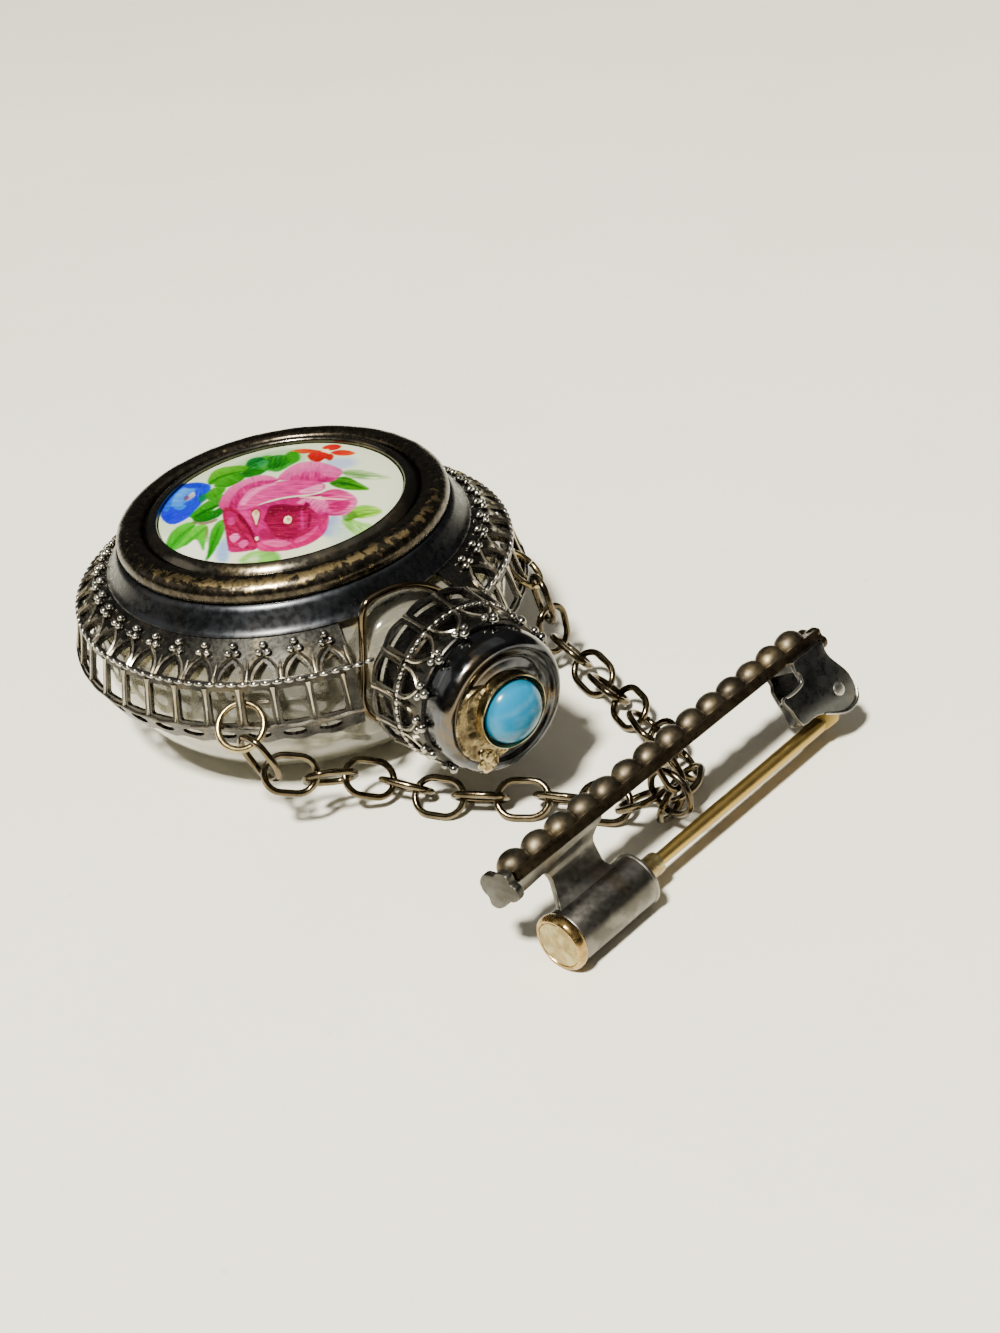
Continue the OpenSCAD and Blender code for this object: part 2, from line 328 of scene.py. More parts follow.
@dataclass(frozen=True)
class Glaze:
    """Painted and glazed porcelain, whose paint is in the mesh's colour attribute."""

    name: str

    def material(self) -> bpy.types.Material:
        """Builds the finish's material.

        Returns:
            The material.
        """
        g = Graph(self.name)
        paint = g.attribute("paint", "Color")
        colour = g.mix(paint, (0.6, 0.54, 0.42), g.span(g.noise(0.3, 4, 0.6), 0.58, 0.8, 0.0, 0.12))
        g.set(Base_Color=colour, Roughness=0.2, Specular_IOR_Level=0.35)
        g.bump(g.sum(g.noise(1.5, 2), g.attribute("relief")), 0.02, 0.5)
        return g.material


@dataclass(frozen=True)
class Glass:
    """Old grey-olive glass, a little cloudy, with amber traces inside."""

    name: str
    tint: Colour
    amber: Colour

    def material(self) -> bpy.types.Material:
        """Builds the finish's material.

        Returns:
            The material.
        """
        g = Graph(self.name)
        cloud = g.noise(4.0, 3, 0.5, 0.3)
        colour = g.mix(self.tint, self.amber, g.span(cloud, 0.58, 0.7, 0.0, 0.5))
        g.set(Base_Color=colour, Roughness=0.12, IOR=1.5, Transmission_Weight=0.8, Coat_Weight=0.6,
              Coat_Roughness=0.05)
        g.bump(cloud, 0.01, 0.5)
        return g.material


@dataclass(frozen=True)
class Paper:
    """The pale matt floor."""

    name: str
    base: Colour
    shade: Colour

    def material(self) -> bpy.types.Material:
        """Builds the finish's material.

        Returns:
            The material.
        """
        g = Graph(self.name)
        colour = g.mix(self.base, self.shade, g.span(g.noise(40, 5, 0.6), 0.4, 0.7, 0.0, 0.5))
        colour = g.mix(colour, (0.45, 0.42, 0.37), g.span(g.noise(2.2, 3, 0.5), 0.7, 0.8, 0.0, 0.3))
        g.set(Base_Color=colour, Roughness=0.75)
        g.bump(g.noise(1.2, 6, 0.65), 0.03, 0.5)
        return g.material


class Finish(Enum):
    """The finishes of the piece, each with its maker."""

    DARK_SILVER = Patina("dark_silver", (0.02, 0.02, 0.021), (0.06, 0.058, 0.055), (0.55, 0.5, 0.4),
                         (0.2, 0.15, 0.08), 0.35, 1.6, 0.3, 0.6, 0.3)
    SHEET_SILVER = Patina("sheet_silver", (0.02, 0.019, 0.018), (0.06, 0.058, 0.052), (0.6, 0.55, 0.45),
                          (0.2, 0.15, 0.08), 0.25, 2.2, 0.3, 0.6, 0.28)
    GRAIN_SILVER = Patina("grain_silver", (0.08, 0.078, 0.075), (0.34, 0.33, 0.3), (0.95, 0.92, 0.86),
                          (0.36, 0.28, 0.17), 0.3, 1.8, 0.2, 0.55, 0.16, 0.002)
    RIDGE = Patina("ridge_silver", (0.1, 0.09, 0.072), (0.34, 0.31, 0.25), (0.95, 0.88, 0.7),
                   (0.5, 0.39, 0.2), 0.4, 3.2, 0.3, 0.5, 0.2)
    MOULDING = Patina("moulding", (0.018, 0.015, 0.012), (0.07, 0.058, 0.042), (0.62, 0.52, 0.34),
                      (0.5, 0.37, 0.17), 0.8, 0.5, 0.4, 0.15, 0.26, 0.006)
    RIM = Patina("rim", (0.05, 0.045, 0.036), (0.13, 0.118, 0.095), (0.85, 0.8, 0.66), (0.3, 0.23, 0.12),
                 0.35, 3.0, 0.4, 0.6, 0.2, 0.003)
    FLANGE = Patina("flange", (0.022, 0.024, 0.028), (0.05, 0.054, 0.062), (0.7, 0.7, 0.69),
                    (0.05, 0.043, 0.036), 0.3, 4.0, 0.5, 0.8, 0.3, 0.002, 0.0, 0.5)
    DRUM = Patina("drum", (0.025, 0.027, 0.031), (0.1, 0.105, 0.115), (0.75, 0.76, 0.78),
                  (0.15, 0.11, 0.065), 0.6, 2.6, 0.6, 0.6, 0.15, 0.003, 0.12, 0.7)
    GILT = Patina("gilt", (0.14, 0.105, 0.05), (0.34, 0.265, 0.13), (0.92, 0.8, 0.5), (0.12, 0.085, 0.045),
                  0.6, 1.0, 0.25, 0.6, 0.2, 0.008, 0.5)
    WORN_GILT = Patina("worn_gilt", (0.07, 0.055, 0.033), (0.3, 0.235, 0.125), (0.9, 0.76, 0.46),
                       (0.13, 0.095, 0.06), 0.5, 0.9, 0.3, 0.5, 0.26, 0.012, 0.75)
    BRONZE = Patina("bronze", (0.045, 0.033, 0.02), (0.15, 0.115, 0.068), (0.6, 0.5, 0.34),
                    (0.1, 0.07, 0.04), 0.4, 2.4, 0.3, 0.3, 0.17)
    BRASS = Patina("brass", (0.16, 0.12, 0.06), (0.42, 0.33, 0.17), (0.95, 0.87, 0.62),
                   (0.16, 0.11, 0.06), 0.4, 1.2, 0.2, 0.4, 0.22)
    # A darker copy of the brass, as painted shade for the ring that lies in the bar's shadow.
    DARK_BRASS = Patina("brass_in_shade", (0.03, 0.024, 0.017), (0.1, 0.078, 0.05), (0.7, 0.6, 0.42),
                        (0.07, 0.05, 0.03), 0.4, 1.2, 0.2, 0.3, 0.24)
    CHAIN = Patina("chain", (0.05, 0.038, 0.022), (0.16, 0.128, 0.078), (0.6, 0.51, 0.34),
                   (0.09, 0.065, 0.038), 0.4, 1.5, 0.2, 0.3, 0.16)
    BAR_SILVER = Patina("bar_silver", (0.025, 0.018, 0.011), (0.075, 0.056, 0.034), (0.3, 0.24, 0.16),
                        (0.09, 0.062, 0.034), 0.4, 2.4, 0.3, 0.4, 0.32, 0.006)
    BEAD_SILVER = Patina("bead_silver", (0.03, 0.024, 0.017), (0.1, 0.082, 0.055), (0.3, 0.25, 0.17),
                         (0.22, 0.165, 0.09), 0.5, 1.9, 0.3, 0.3, 0.45, 0.006)
    END_SILVER = Patina("end_silver", (0.04, 0.038, 0.034), (0.09, 0.085, 0.076), (0.34, 0.32, 0.28),
                        (0.08, 0.067, 0.05), 0.4, 1.6, 0.3, 0.5, 0.42, 0.006)
    HINGE_SILVER = Patina("hinge_silver", (0.03, 0.031, 0.033), (0.095, 0.098, 0.1), (0.85, 0.82, 0.74),
                          (0.12, 0.1, 0.075), 0.35, 3.0, 0.6, 0.9, 0.3)
    BARREL = Patina("barrel", (0.06, 0.057, 0.052), (0.17, 0.162, 0.145), (0.85, 0.8, 0.68),
                    (0.1, 0.078, 0.05), 0.55, 2.2, 0.4, 0.8, 0.34, 0.004)
    PIN = Patina("pin_gold", (0.36, 0.25, 0.08), (0.42, 0.29, 0.09), (0.95, 0.88, 0.66), (0.3, 0.2, 0.065),
                 0.3, 4.5, 0.2, 0.1, 0.36, 0.001, 0.0, 0.2)
    BUTTON = Patina("button_brass", (0.2, 0.13, 0.05), (0.44, 0.38, 0.18), (0.75, 0.62, 0.3),
                    (0.28, 0.18, 0.07), 0.7, 1.0, 0.3, 0.6, 0.36, 0.03)
    BUTTON_RIM = Patina("button_gold", (0.22, 0.14, 0.05), (0.46, 0.31, 0.12), (0.95, 0.76, 0.4),
                        (0.28, 0.17, 0.06), 0.5, 0.9, 0.3, 0.5, 0.26, 0.01)
    RIVET = Patina("rivet_metal", (0.2, 0.2, 0.195), (0.4, 0.39, 0.37), (0.9, 0.88, 0.84),
                   (0.3, 0.27, 0.22), 0.3, 0.8, 0.2, 0.6, 0.36, 0.006)
    PLUG = Patina("plug_skin", (0.3, 0.27, 0.22), (0.5, 0.46, 0.38), (0.6, 0.56, 0.48),
                  (0.3, 0.25, 0.18), 0.4, 1.5, 0.3, 0.2, 0.6)
    TURQUOISE = Gem("turquoise_stone", (0.0, 0.17, 0.34), (0.004, 0.23, 0.4), (0.0, 0.1, 0.18))
    PORCELAIN = Glaze("painted_porcelain")
    OLD_GLASS = Glass("old_glass", (0.55, 0.53, 0.43), (0.5, 0.36, 0.14))
    PAPER = Paper("paper", (0.82, 0.795, 0.69), (0.77, 0.745, 0.64))

    def material(self) -> bpy.types.Material:
        """The finish's material, made at its first use."""
        return bpy.data.materials.get(f"{self.value.name}_skin") or self.value.material()


class Form:
    """A growing mesh in millimetres, with the shaping steps that the pieces share."""

    def __init__(self) -> None:
        """Starts with nothing."""
        self.bm = bmesh.new()

    def geom(self) -> list[object]:
        """Every vertex, edge and face."""
        return [*self.bm.verts, *self.bm.edges, *self.bm.faces]

    def add(self, other: "Form", place: Matrix = Matrix.Identity(4)) -> None:
        """Takes in a copy of another form.

        Args:
            other: The form to copy.
            place: Where the copy goes.
        """
        mesh = bpy.data.meshes.new("part")
        other.bm.to_mesh(mesh)
        mesh.transform(place)
        self.bm.from_mesh(mesh)
        bpy.data.meshes.remove(mesh)

    def turn(self, profile: Sequence[Point2], steps: int = 96, start: float = 0.0,
             sweep: float = 360.0, loop: bool = False) -> None:
        """Turns a profile of radius and height about Z.

        Args:
            profile: Points of the profile.
            steps: Steps of the turn.
            start: Where the turn starts, in degrees.
            sweep: How far it goes.
            loop: True closes the profile, and fills the ends of a part turn.
        """
        bm = self.bm
        spin = turned_by(start)
        verts = [bm.verts.new(spin @ Vector((r, 0, z))) for r, z in profile]
        edges = [bm.edges.new(pair) for pair in zip(verts, verts[1:])]
        if loop:
            edges.append(bm.edges.new((verts[-1], verts[0])))
        whole = sweep >= 360
        faces = [] if whole or not loop else [bm.faces.new(verts)]
        bmesh.ops.spin(bm, geom=[*verts, *edges, *faces], cent=(0, 0, 0), axis=(0, 0, 1),
                       angle=math.radians(sweep), steps=steps, use_merge=whole)

    def wire(self, path: Sequence[Vector], radius: float | Sequence[float], sides: int = 8,
             closed: bool = False, up: Vector | Sequence[Vector] = UP, flat: float = 1.0) -> None:
        """Draws a round wire along a path.

        Args:
            path: Points of the wire's middle.
            radius: One radius, or one for each point.
            sides: Sides of its section.
            closed: True joins the last point to the first.
            up: A direction that the section keeps, one or one for each point.
            flat: Thickness along up against the width.
        """
        bm = bmesh.new()
        n = len(path)
        frames = []
        for i, p in enumerate(path):
            a = path[(i - 1) % n] if closed or i else p
            b = path[(i + 1) % n] if closed or i < n - 1 else p
            tangent = (b - a).normalized()
            lift = up if isinstance(up, Vector) else up[i]
            side = tangent.cross(lift).normalized()
            lift = side.cross(tangent)
            r = radius if isinstance(radius, (int, float)) else radius[i]
            frame = Matrix((side * r, lift * r * flat, tangent)).transposed().to_4x4()
            frame.translation = p
            frames.append(frame)
        ring = bmesh.ops.create_circle(bm, cap_ends=False, radius=1.0, segments=sides,
                                       matrix=frames[0])["verts"]
        edges = first = list({e for v in ring for e in v.link_edges})
        for before, after in zip(frames, frames[1:]):
            made = bmesh.ops.extrude_edge_only(bm, edges=edges)["geom"]
            verts = [g for g in made if isinstance(g, bmesh.types.BMVert)]
            edges = [g for g in made if isinstance(g, bmesh.types.BMEdge)
                     and all(v in verts for v in g.verts)]
            bmesh.ops.transform(bm, matrix=after @ before.inverted(), verts=verts)
        if closed:
            bmesh.ops.bridge_loops(bm, edges=[*edges, *first])
        else:
            bmesh.ops.holes_fill(bm, edges=[*edges, *first], sides=0)
        part = Form()
        part.bm.free()
        part.bm = bm
        self.add(part)

    def ball(self, centre: Vector, radius: float, detail: int = 2, scale: Vector | None = None,
             turn: Matrix | None = None) -> None:
        """Adds a small ball, or an ellipsoid.

        Args:
            centre: Its middle.
            radius: Its radius.
            detail: Subdivisions.
            scale: Stretch along its own axes.
            turn: Turn of those axes.
        """
        place = Matrix.Translation(centre) @ (turn or Matrix.Identity(4))
        if scale:
            place = place @ Matrix.Diagonal((*scale, 1))
        bmesh.ops.create_icosphere(self.bm, subdivisions=detail, radius=radius, matrix=place)

    def box(self, low: Sequence[float], high: Sequence[float]) -> None:
        """Adds a box.

        Args:
            low, high: Its two corners.
        """
        lo, hi = Vector(low), Vector(high)
        place = Matrix.Translation((lo + hi) / 2) @ Matrix.Diagonal((*(hi - lo), 1))
        bmesh.ops.create_cube(self.bm, size=1.0, matrix=place)

    def plate(self, outline: Sequence[Point2], low: float, high: float) -> None:
        """Adds a plate with an outline in X and Z, between two Y.

        Args:
            outline: Points of X and Z in order.
            low, high: The plate's faces.
        """
        verts = [self.bm.verts.new((x, low, z)) for x, z in outline]
        face = self.bm.faces.new(verts)
        made = bmesh.ops.extrude_face_region(self.bm, geom=[face])["geom"]
        moved = [g for g in made if isinstance(g, bmesh.types.BMVert)]
        bmesh.ops.translate(self.bm, vec=(0, high - low, 0), verts=moved)

    def cut(self, axis: int, places: Sequence[float]) -> None:
        """Adds cuts across the whole form, so that it can bend.

        Args:
            axis: 0, 1 or 2.
            places: Where each cut goes.
        """
        normal = [0.0, 0.0, 0.0]
        normal[axis] = 1.0
        for place in places:
            co = [0.0, 0.0, 0.0]
            co[axis] = place
            bmesh.ops.bisect_plane(self.bm, geom=self.geom(), dist=1e-5, plane_co=co, plane_no=normal)

    def shape(self, rule: Callable[[Vector], Vector]) -> None:
        """Moves every vertex by a rule."""
        for v in self.bm.verts:
            v.co = rule(v.co)

    def repeat(self, times: int, step: float) -> None:
        """Copies the whole form round Z.

        Args:
            times: Copies with the first one.
            step: Degrees from one to the next.
        """
        if times > 1:
            bmesh.ops.spin(self.bm, geom=self.geom(), cent=(0, 0, 0), axis=(0, 0, 1),
                           angle=math.radians(step * (times - 1)), steps=times - 1, use_duplicate=True)

    def round_edges(self, width: float, angle: float = 40.0, segments: int = 2) -> None:
        """Rounds every edge sharper than an angle.

        Args:
            width: Width of the rounding.
            angle: Least angle in degrees.
            segments: Its steps.
        """
        self.settle()
        edges = [e for e in self.bm.edges if e.is_manifold and e.calc_face_angle(0) > math.radians(angle)]
        bmesh.ops.bevel(self.bm, geom=edges, offset=width, offset_type="OFFSET", segments=segments,
                        profile=0.5, affect="EDGES", clamp_overlap=True, material=-1)

    def settle(self) -> None:
        """Merges doubles and points every face outwards."""
        bmesh.ops.remove_doubles(self.bm, verts=self.bm.verts, dist=1e-4)
        bmesh.ops.recalc_face_normals(self.bm, faces=self.bm.faces)

    def edge_values(self) -> list[float]:
        """How convex the surface is at each vertex.

        Returns:
            A value for each vertex: 0.5 is flat, 1 a sharp edge and 0 a sharp hollow.
        """
        reach = 0.12
        values = []
        for v in self.bm.verts:
            area = sum(f.calc_area() for f in v.link_faces)
            bend = sum(e.calc_face_angle_signed(0) * e.calc_length() for e in v.link_edges
                       if e.is_manifold)
            values.append(0.5 + 0.5 * math.tanh(reach * bend / area) if area else 0.5)
        return values

    def piece(self, name: str, place: Matrix, finish: Finish, slot: str, body: str = "root",
              replaces: Sequence[str] = (), crease: float = 38.0,
              wear_and_sheen: Callable[[Vector], float] | None = None) -> bpy.types.Object:
        """Makes the form a finished object in the frame.

        Args:
            name: The piece's name.
            place: From the form's millimetres to the frame's metres.
            finish: Its finish.
            slot: The record's material slot; not used.
            body: The body that it rides on.
            replaces: CAD nodes that it stands for.
            crease: Edges above this angle stay sharp.
            wear_and_sheen: Gives how much wear and painted highlight a point of the form takes.
        Returns:
            The new object.
        """
        self.settle()
        for f in self.bm.faces:
            f.smooth = True
        for e in self.bm.edges:
            e.smooth = e.calc_face_angle(0) < math.radians(crease)
        edge = self.edge_values()
        # Per-point wear; on the moulding this is also painted highlight towards the front.
        rubbed = [wear_and_sheen(v.co) for v in self.bm.verts] if wear_and_sheen else []
        lathe, rings = [], 4 * MM
        for v in self.bm.verts:
            r = max(math.hypot(v.co.x, v.co.y), 1e-6)
            lathe += [(r + v.co.z) * rings, v.co.x / r * MM, v.co.y / r * MM]
        mesh = bpy.data.meshes.new(name)
        self.bm.to_mesh(mesh)
        self.bm.free()
        mesh.attributes.new("edge", "FLOAT", "POINT").data.foreach_set("value", edge)
        if rubbed:
            mesh.attributes.new("wear_and_sheen", "FLOAT", "POINT").data.foreach_set("value", rubbed)
        mesh.attributes.new("lathe", "FLOAT_VECTOR", "POINT").data.foreach_set("vector", lathe)
        mesh.transform(place)
        mesh.materials.append(finish.material())
        made = bpy.data.objects.new(name, mesh)
        bpy.context.scene.collection.objects.link(made)
        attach(made, body)
        if replaces:
            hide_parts(*replaces)
        LOG.info("%s: %d faces", name, len(mesh.polygons))
        return made


@dataclass
class Tier:
    """A tier of pierced sheet: bays of plate bent round a cone, each with one opening."""

    low: Point2
    high: Point2
    pitch: float
    first: float
    count: int
    opening: Sequence[Point2]
    thick: float = 0.3
    before: float = 0.0
    after: float = 0.0
    wave: float = 0.0
    cuts: int = 3

    @property
    def length(self) -> float:
        """The sheet's length along its slope."""
        return math.dist(self.low, self.high)

    def at(self, across: float, along: float, out: float = 0.0) -> Vector:
        """A point on the first bay's sheet.

        Args:
            across: Millimetres from the bay's middle.
            along: Millimetres up the slope from the lower edge.
            out: Millimetres off the sheet's face.
        Returns:
            The point.
        """
        share = along / self.length
        r = self.low[0] + (self.high[0] - self.low[0]) * share
        turn = math.radians(self.first) + across / r
        return self.bent(r, turn, share, out)

    def bent(self, r: float, turn: float, share: float, out: float) -> Vector:
        """A point of the bent sheet.

        Args:
            r: Radius of the cone there.
            turn: Its turn in radians.
            share: Share of the slope, from the lower edge.
            out: Millimetres off the face.
        Returns:
            The point.
        """
        dr, dz = self.high[0] - self.low[0], self.high[1] - self.low[1]
        r += out * dz / self.length
        z = self.low[1] + dz * share - out * dr / self.length
        return Vector((r * math.cos(turn), r * math.sin(turn), z))

    def normal(self, across: float, along: float) -> Vector:
        """The sheet's outward direction at a point of the first bay."""
        return (self.at(across, along, 1.0) - self.at(across, along, 0.0)).normalized()

    def sheet(self) -> Form:
        """Builds the pierced sheet of every bay, with its plain ends.

        Returns:
            The sheet.
        """
        form = Form()
        bm = form.bm
        pitch = math.radians(self.pitch)
        slope = (self.high[0] - self.low[0]) / self.length
        ring = []
        for x, y in self.opening:
            ring.append(bm.verts.new((x / ((self.low[0] + slope * y) * pitch), y, 0)))
        rim = [bm.verts.new((x, y, 0)) for x, y in ((-0.5, 0), (0.5, 0), (0.5, self.length),
                                                     (-0.5, self.length))]
        edges = [bm.edges.new(pair) for loop in (ring, rim) for pair in zip(loop, [*loop[1:], loop[0]])
                 if loop]
        bmesh.ops.triangle_fill(bm, edges=edges, use_beauty=True, normal=(0, 0, 1))
        made = bmesh.ops.extrude_face_region(bm, geom=list(bm.faces))["geom"]
        back = [g for g in made if isinstance(g, bmesh.types.BMVert)]
        bmesh.ops.translate(bm, vec=(0, 0, -self.thick), verts=back)
        form.cut(0, [(i + 1) / (self.cuts + 1) - 0.5 for i in range(self.cuts)])
        walls = [f for f in bm.faces if all(abs(abs(v.co.x) - 0.5) < 1e-4 for v in f.verts)]
        bmesh.ops.delete(bm, geom=walls, context="FACES")
        turn0 = math.radians(self.first)

        def bend(co: Vector) -> Vector:
            """Bends a flat bay round the cone, with the wave in its lower edge."""
            along = co.y - (self.wave * math.cos(2 * math.pi * co.x) if co.y < 1e-4 else 0.0)
            return self.bent(self.low[0] + slope * along, turn0 + co.x * pitch, along / self.length, co.z)

        form.shape(bend)
        form.repeat(self.count, self.pitch)
        bmesh.ops.remove_doubles(bm, verts=bm.verts, dist=1e-4)
        begin = self.first - self.pitch / 2
        end = begin + self.pitch * self.count
        for turn, extra in ((begin, -self.before), (end, self.after)):
            mark = Vector((math.cos(math.radians(turn)), math.sin(math.radians(turn)), 0))
            border = [e for e in bm.edges if e.is_boundary and all(
                Vector((v.co.x, v.co.y, 0)).normalized().dot(mark) > 0.99999 for v in e.verts)]
            if extra and border:
                made = bmesh.ops.extrude_edge_only(bm, edges=border)["geom"]
                moved = [g for g in made if isinstance(g, bmesh.types.BMVert)]
                bmesh.ops.rotate(bm, cent=(0, 0, 0), matrix=turned_by(extra).to_3x3(), verts=moved)
        bmesh.ops.holes_fill(bm, edges=[e for e in bm.edges if e.is_boundary], sides=0)
        return form

    def along_bays(self, draw: Callable[[Form], None]) -> Form:
        """Draws one bay's trim and repeats it.

        Args:
            draw: Draws the first bay's trim in the form that it is given.
        Returns:
            The form with every bay's trim.
        """
        form = Form()
        draw(form)
        form.repeat(self.count, self.pitch)
        return form


def smooth_path(points: Sequence[Point2], per: int = 3, closed: bool = False) -> list[Point2]:
    """Rounds a path with a Catmull-Rom curve.

    Args:
        points: The path's corners.
        per: New points for each stretch.
        closed: True for a closed path.
    Returns:
        The finer path.
    """
    n = len(points)
    made: list[Point2] = []
    for i in range(n if closed else n - 1):
        p = [Vector(points[(i + k) % n] if closed else points[min(max(i + k, 0), n - 1)])
             for k in (-1, 0, 1, 2)]
        for j in range(per):
            t = j / per
            q = 0.5 * (2 * p[1] + (p[2] - p[0]) * t + (2 * p[0] - 5 * p[1] + 4 * p[2] - p[3]) * t * t
                       + (3 * p[1] - p[0] - 3 * p[2] + p[3]) * t ** 3)
            made.append((q.x, q.y))
    return made if closed else [*made, tuple(points[-1])]


@dataclass
class Gallery:
    """The flask's pierced silver mount: lid ring, arches, beads, windows and skirt."""

    bays: int = 42
    windows: int = 37
    gap: float = 18.5
    arch_turn: float = 2.4
    moulding: Point2 = (12.4, 17.0)
    arch_foot: Point2 = (18.12, 12.24)
    arch_head: Point2 = (14.92, 14.42)
    arch_taper: float = 0.84
    window_foot: Point2 = (18.92, 8.72)
    window_head: Point2 = (18.05, 12.15)
    window_taper: float = 0.245
    skirt_foot: Point2 = (18.15, 6.95)
    skirt_head: Point2 = (18.9, 8.7)
    grain_radius: float = 0.3
    grain_at: Vector = field(default_factory=lambda: Vector((18.1, 0, 12.22)))
    rim_profile: Sequence[Point2] = (
        (9.3, 16.4), (9.3, 16.72), (10.18, 16.72), (10.18, 18.06), (10.22, 18.18), (10.32, 18.28),
        (10.46, 18.33), (10.62, 18.31), (10.82, 18.2), (11.04, 18.02), (11.25, 17.8), (11.38, 17.6),
        (11.4, 17.3), (11.4, 16.4))
    flange_profile: Sequence[Point2] = (
        (13.3, 16.2), (13.5, 16.46), (13.7, 16.52), (13.88, 16.44), (14.1, 16.08), (14.35, 15.62),
        (14.68, 15.06), (14.93, 14.7), (15.04, 14.62), (15.1, 14.5), (15.05, 14.4), (14.9, 14.36),
        (14.6, 14.5), (14.2, 15.3), (13.8, 15.9))
    arch: Sequence[Point2] = ((-0.86, 0.3), (0.86, 0.3), (0.76, 0.72), (0.54, 1.15), (0.28, 1.5),
                              (0, 1.78), (-0.28, 1.5), (-0.54, 1.15), (-0.76, 0.72))

    @property
    def pitch(self) -> float:
        """Turn of one bay in degrees."""
        return 360 / self.bays

    @property
    def first(self) -> float:
        """Turn of the first window's middle in degrees."""
        return NECK_TURN + 3 * self.pitch

    @property
    def end(self) -> float:
        """Turn of the plain sheet between the opening at the neck and the first window."""
        return 2.5 * self.pitch - self.gap

    def build(self) -> None:
        """Builds the lid ring and the tiers."""
        self.lid()
        self.arches()
        self.window_tier()
        self.skirt()

    def lid(self) -> None:
        """Inner rim, groove and rounded moulding, and the satin flange below it."""
        rim = Form()
        rim.turn(self.rim_profile, 160, loop=True)
        rim.piece("lid_rim", FLASK, Finish.RIM, "silver", replaces=["gallery"])
        moulding = Form()
        moulding.turn([(11.3, 16.5), (11.38, 17.1), (11.44, 17.5), (11.5, 17.72)]
                      + arc(*self.moulding, 1.33, 1.17, 126, -25, 24) + [(13.3, 16.2)], 192, loop=True)
        moulding.shape(lambda co: co + co.normalized() * 0.03 * noise.noise(co * 0.8))

        def crest_sheen(co: Vector) -> float:
            """Worn gilding on the crest, plus painted highlight that is strongest at the front.

            Args:
                co: A point of the moulding.
            Returns:
                How much wear and painted highlight it takes.
            """
            r, turn = math.hypot(co.x, co.y), math.degrees(math.atan2(co.y, co.x))
            section = math.degrees(math.atan2(co.z - self.moulding[1], r - self.moulding[0]))
            front = 0.5 + 0.5 * math.cos(math.radians(turn + 80))
            return 0.85 * math.exp(-((section - 62) / 32) ** 2) * front ** 1.5 - 0.38

        # The moulding's warm gold is worn gilding plus a painted highlight that is strongest at the front.
        moulding.piece("lid_moulding", FLASK, Finish.MOULDING, "silver", replaces=["gallery"], wear_and_sheen=crest_sheen)
        flange = Form()
        flange.turn(self.flange_profile, 192, loop=True)
        flange.piece("lid_flange", FLASK, Finish.FLANGE, "silver", replaces=["gallery"])

    def arches(self) -> None:
        """Cone of pointed arches with raised ridges, rounded posts and trefoils of beads."""
        first = self.first + self.arch_turn
        before = first - self.pitch / 2 - (NECK_TURN + self.gap)
        after = 360 + NECK_TURN - self.gap - (first + self.pitch * (self.windows - 0.5))
        tier = Tier(self.arch_foot, self.arch_head, self.pitch, first, self.windows, self.arch, 0.3,
                    before, max(after, 0.0))
        tier.sheet().piece("arch_tier", FLASK, Finish.SHEET_SILVER, "silver", replaces=["gallery"])
        side = smooth_path(((-1.17, 0.2), (-1.1, 0.8), (-0.87, 1.35), (-0.48, 1.84), (0, 2.2)), 3)
        ridge = [*side, *[(-x, y) for x, y in reversed(side[:-1])]]

        def trim(form: Form) -> None:
            """One bay's ridge and post.

            Args:
                form: Takes them.
            """
            form.wire([tier.at(x, y, 0.08) for x, y in ridge], 0.145, 6,
                      up=[tier.normal(x, y) for x, y in ridge])
            half = math.radians(self.pitch / 2)
            post = [(y, 0.07 + 0.07 * math.sin(math.pi * min(y / 2.0, 1)))
                    for y in (0.2, 0.5, 0.8, 1.1, 1.5, 1.8)]
            form.wire([tier.at(half * (self.arch_foot[0] - self.arch_taper * y), y, 0.02) for y, _ in post],
                      [r for _, r in post], 8, up=tier.normal(half * 17, 1.0), flat=0.8)

        tier.along_bays(trim).piece("arch_ridges", FLASK, Finish.RIDGE, "silver", replaces=["gallery"])

        def beads(form: Form) -> None:
            """One bay's three beads, each a row of place across, place along and radius.

            Args:
                form: Takes them.
            """
            for x, y, r in ((-0.36, 2.48, 0.3), (0.36, 2.48, 0.3), (0, 3.08, 0.33)):
                form.ball(tier.at(x, y, r * 0.75), r)

        tier.along_bays(beads).piece("bead_trefoils", FLASK, Finish.GRAIN_SILVER, "silver",
                                     replaces=["gallery"])

        def grains(form: Form) -> None:
            """One bay's milgrain.

            Args:
                form: Takes it.
            """
            for k in (-1, 0, 1):
                turn = self.first + k * self.pitch / 3
                form.ball(turned_by(turn) @ self.grain_at, self.grain_radius, 2, Vector((0.72, 1.4, 0.72)),
                          turned_by(turn))

        milgrain = tier.along_bays(grains)
        for side in (-1, 1):
            for k in (2, 3, 4):
                turn = NECK_TURN + side * (3 - k / 3) * self.pitch
                milgrain.ball(turned_by(turn) @ self.grain_at, self.grain_radius, 2,
                              Vector((0.72, 1.45, 0.72)), turned_by(turn))
        milgrain.turn(arc(17.98, 12.2, 0.17, 0.17, 0, 315, 7), 150, NECK_TURN + self.gap,
                      360 - 2 * self.gap, loop=True)
        milgrain.piece("milgrain_ring", FLASK, Finish.GRAIN_SILVER, "silver", replaces=["gallery"])

    def window_tier(self) -> None:
        """Upright tier of windows between ribbed bars, with its waved border wire."""
        opening = ((-1.05, 0.5), (-0.9, 0.38), (0.9, 0.38), (1.05, 0.5), (1.05, 2.85), (0.9, 3.0),
                   (-0.9, 3.0), (-1.05, 2.85))
        tier = Tier(self.window_foot, self.window_head, self.pitch, self.first, self.windows, opening,
                    0.35, self.end, self.end)
        tier.sheet().piece("window_tier", FLASK, Finish.SHEET_SILVER, "silver", replaces=["gallery"])
        half = math.radians(self.pitch / 2)

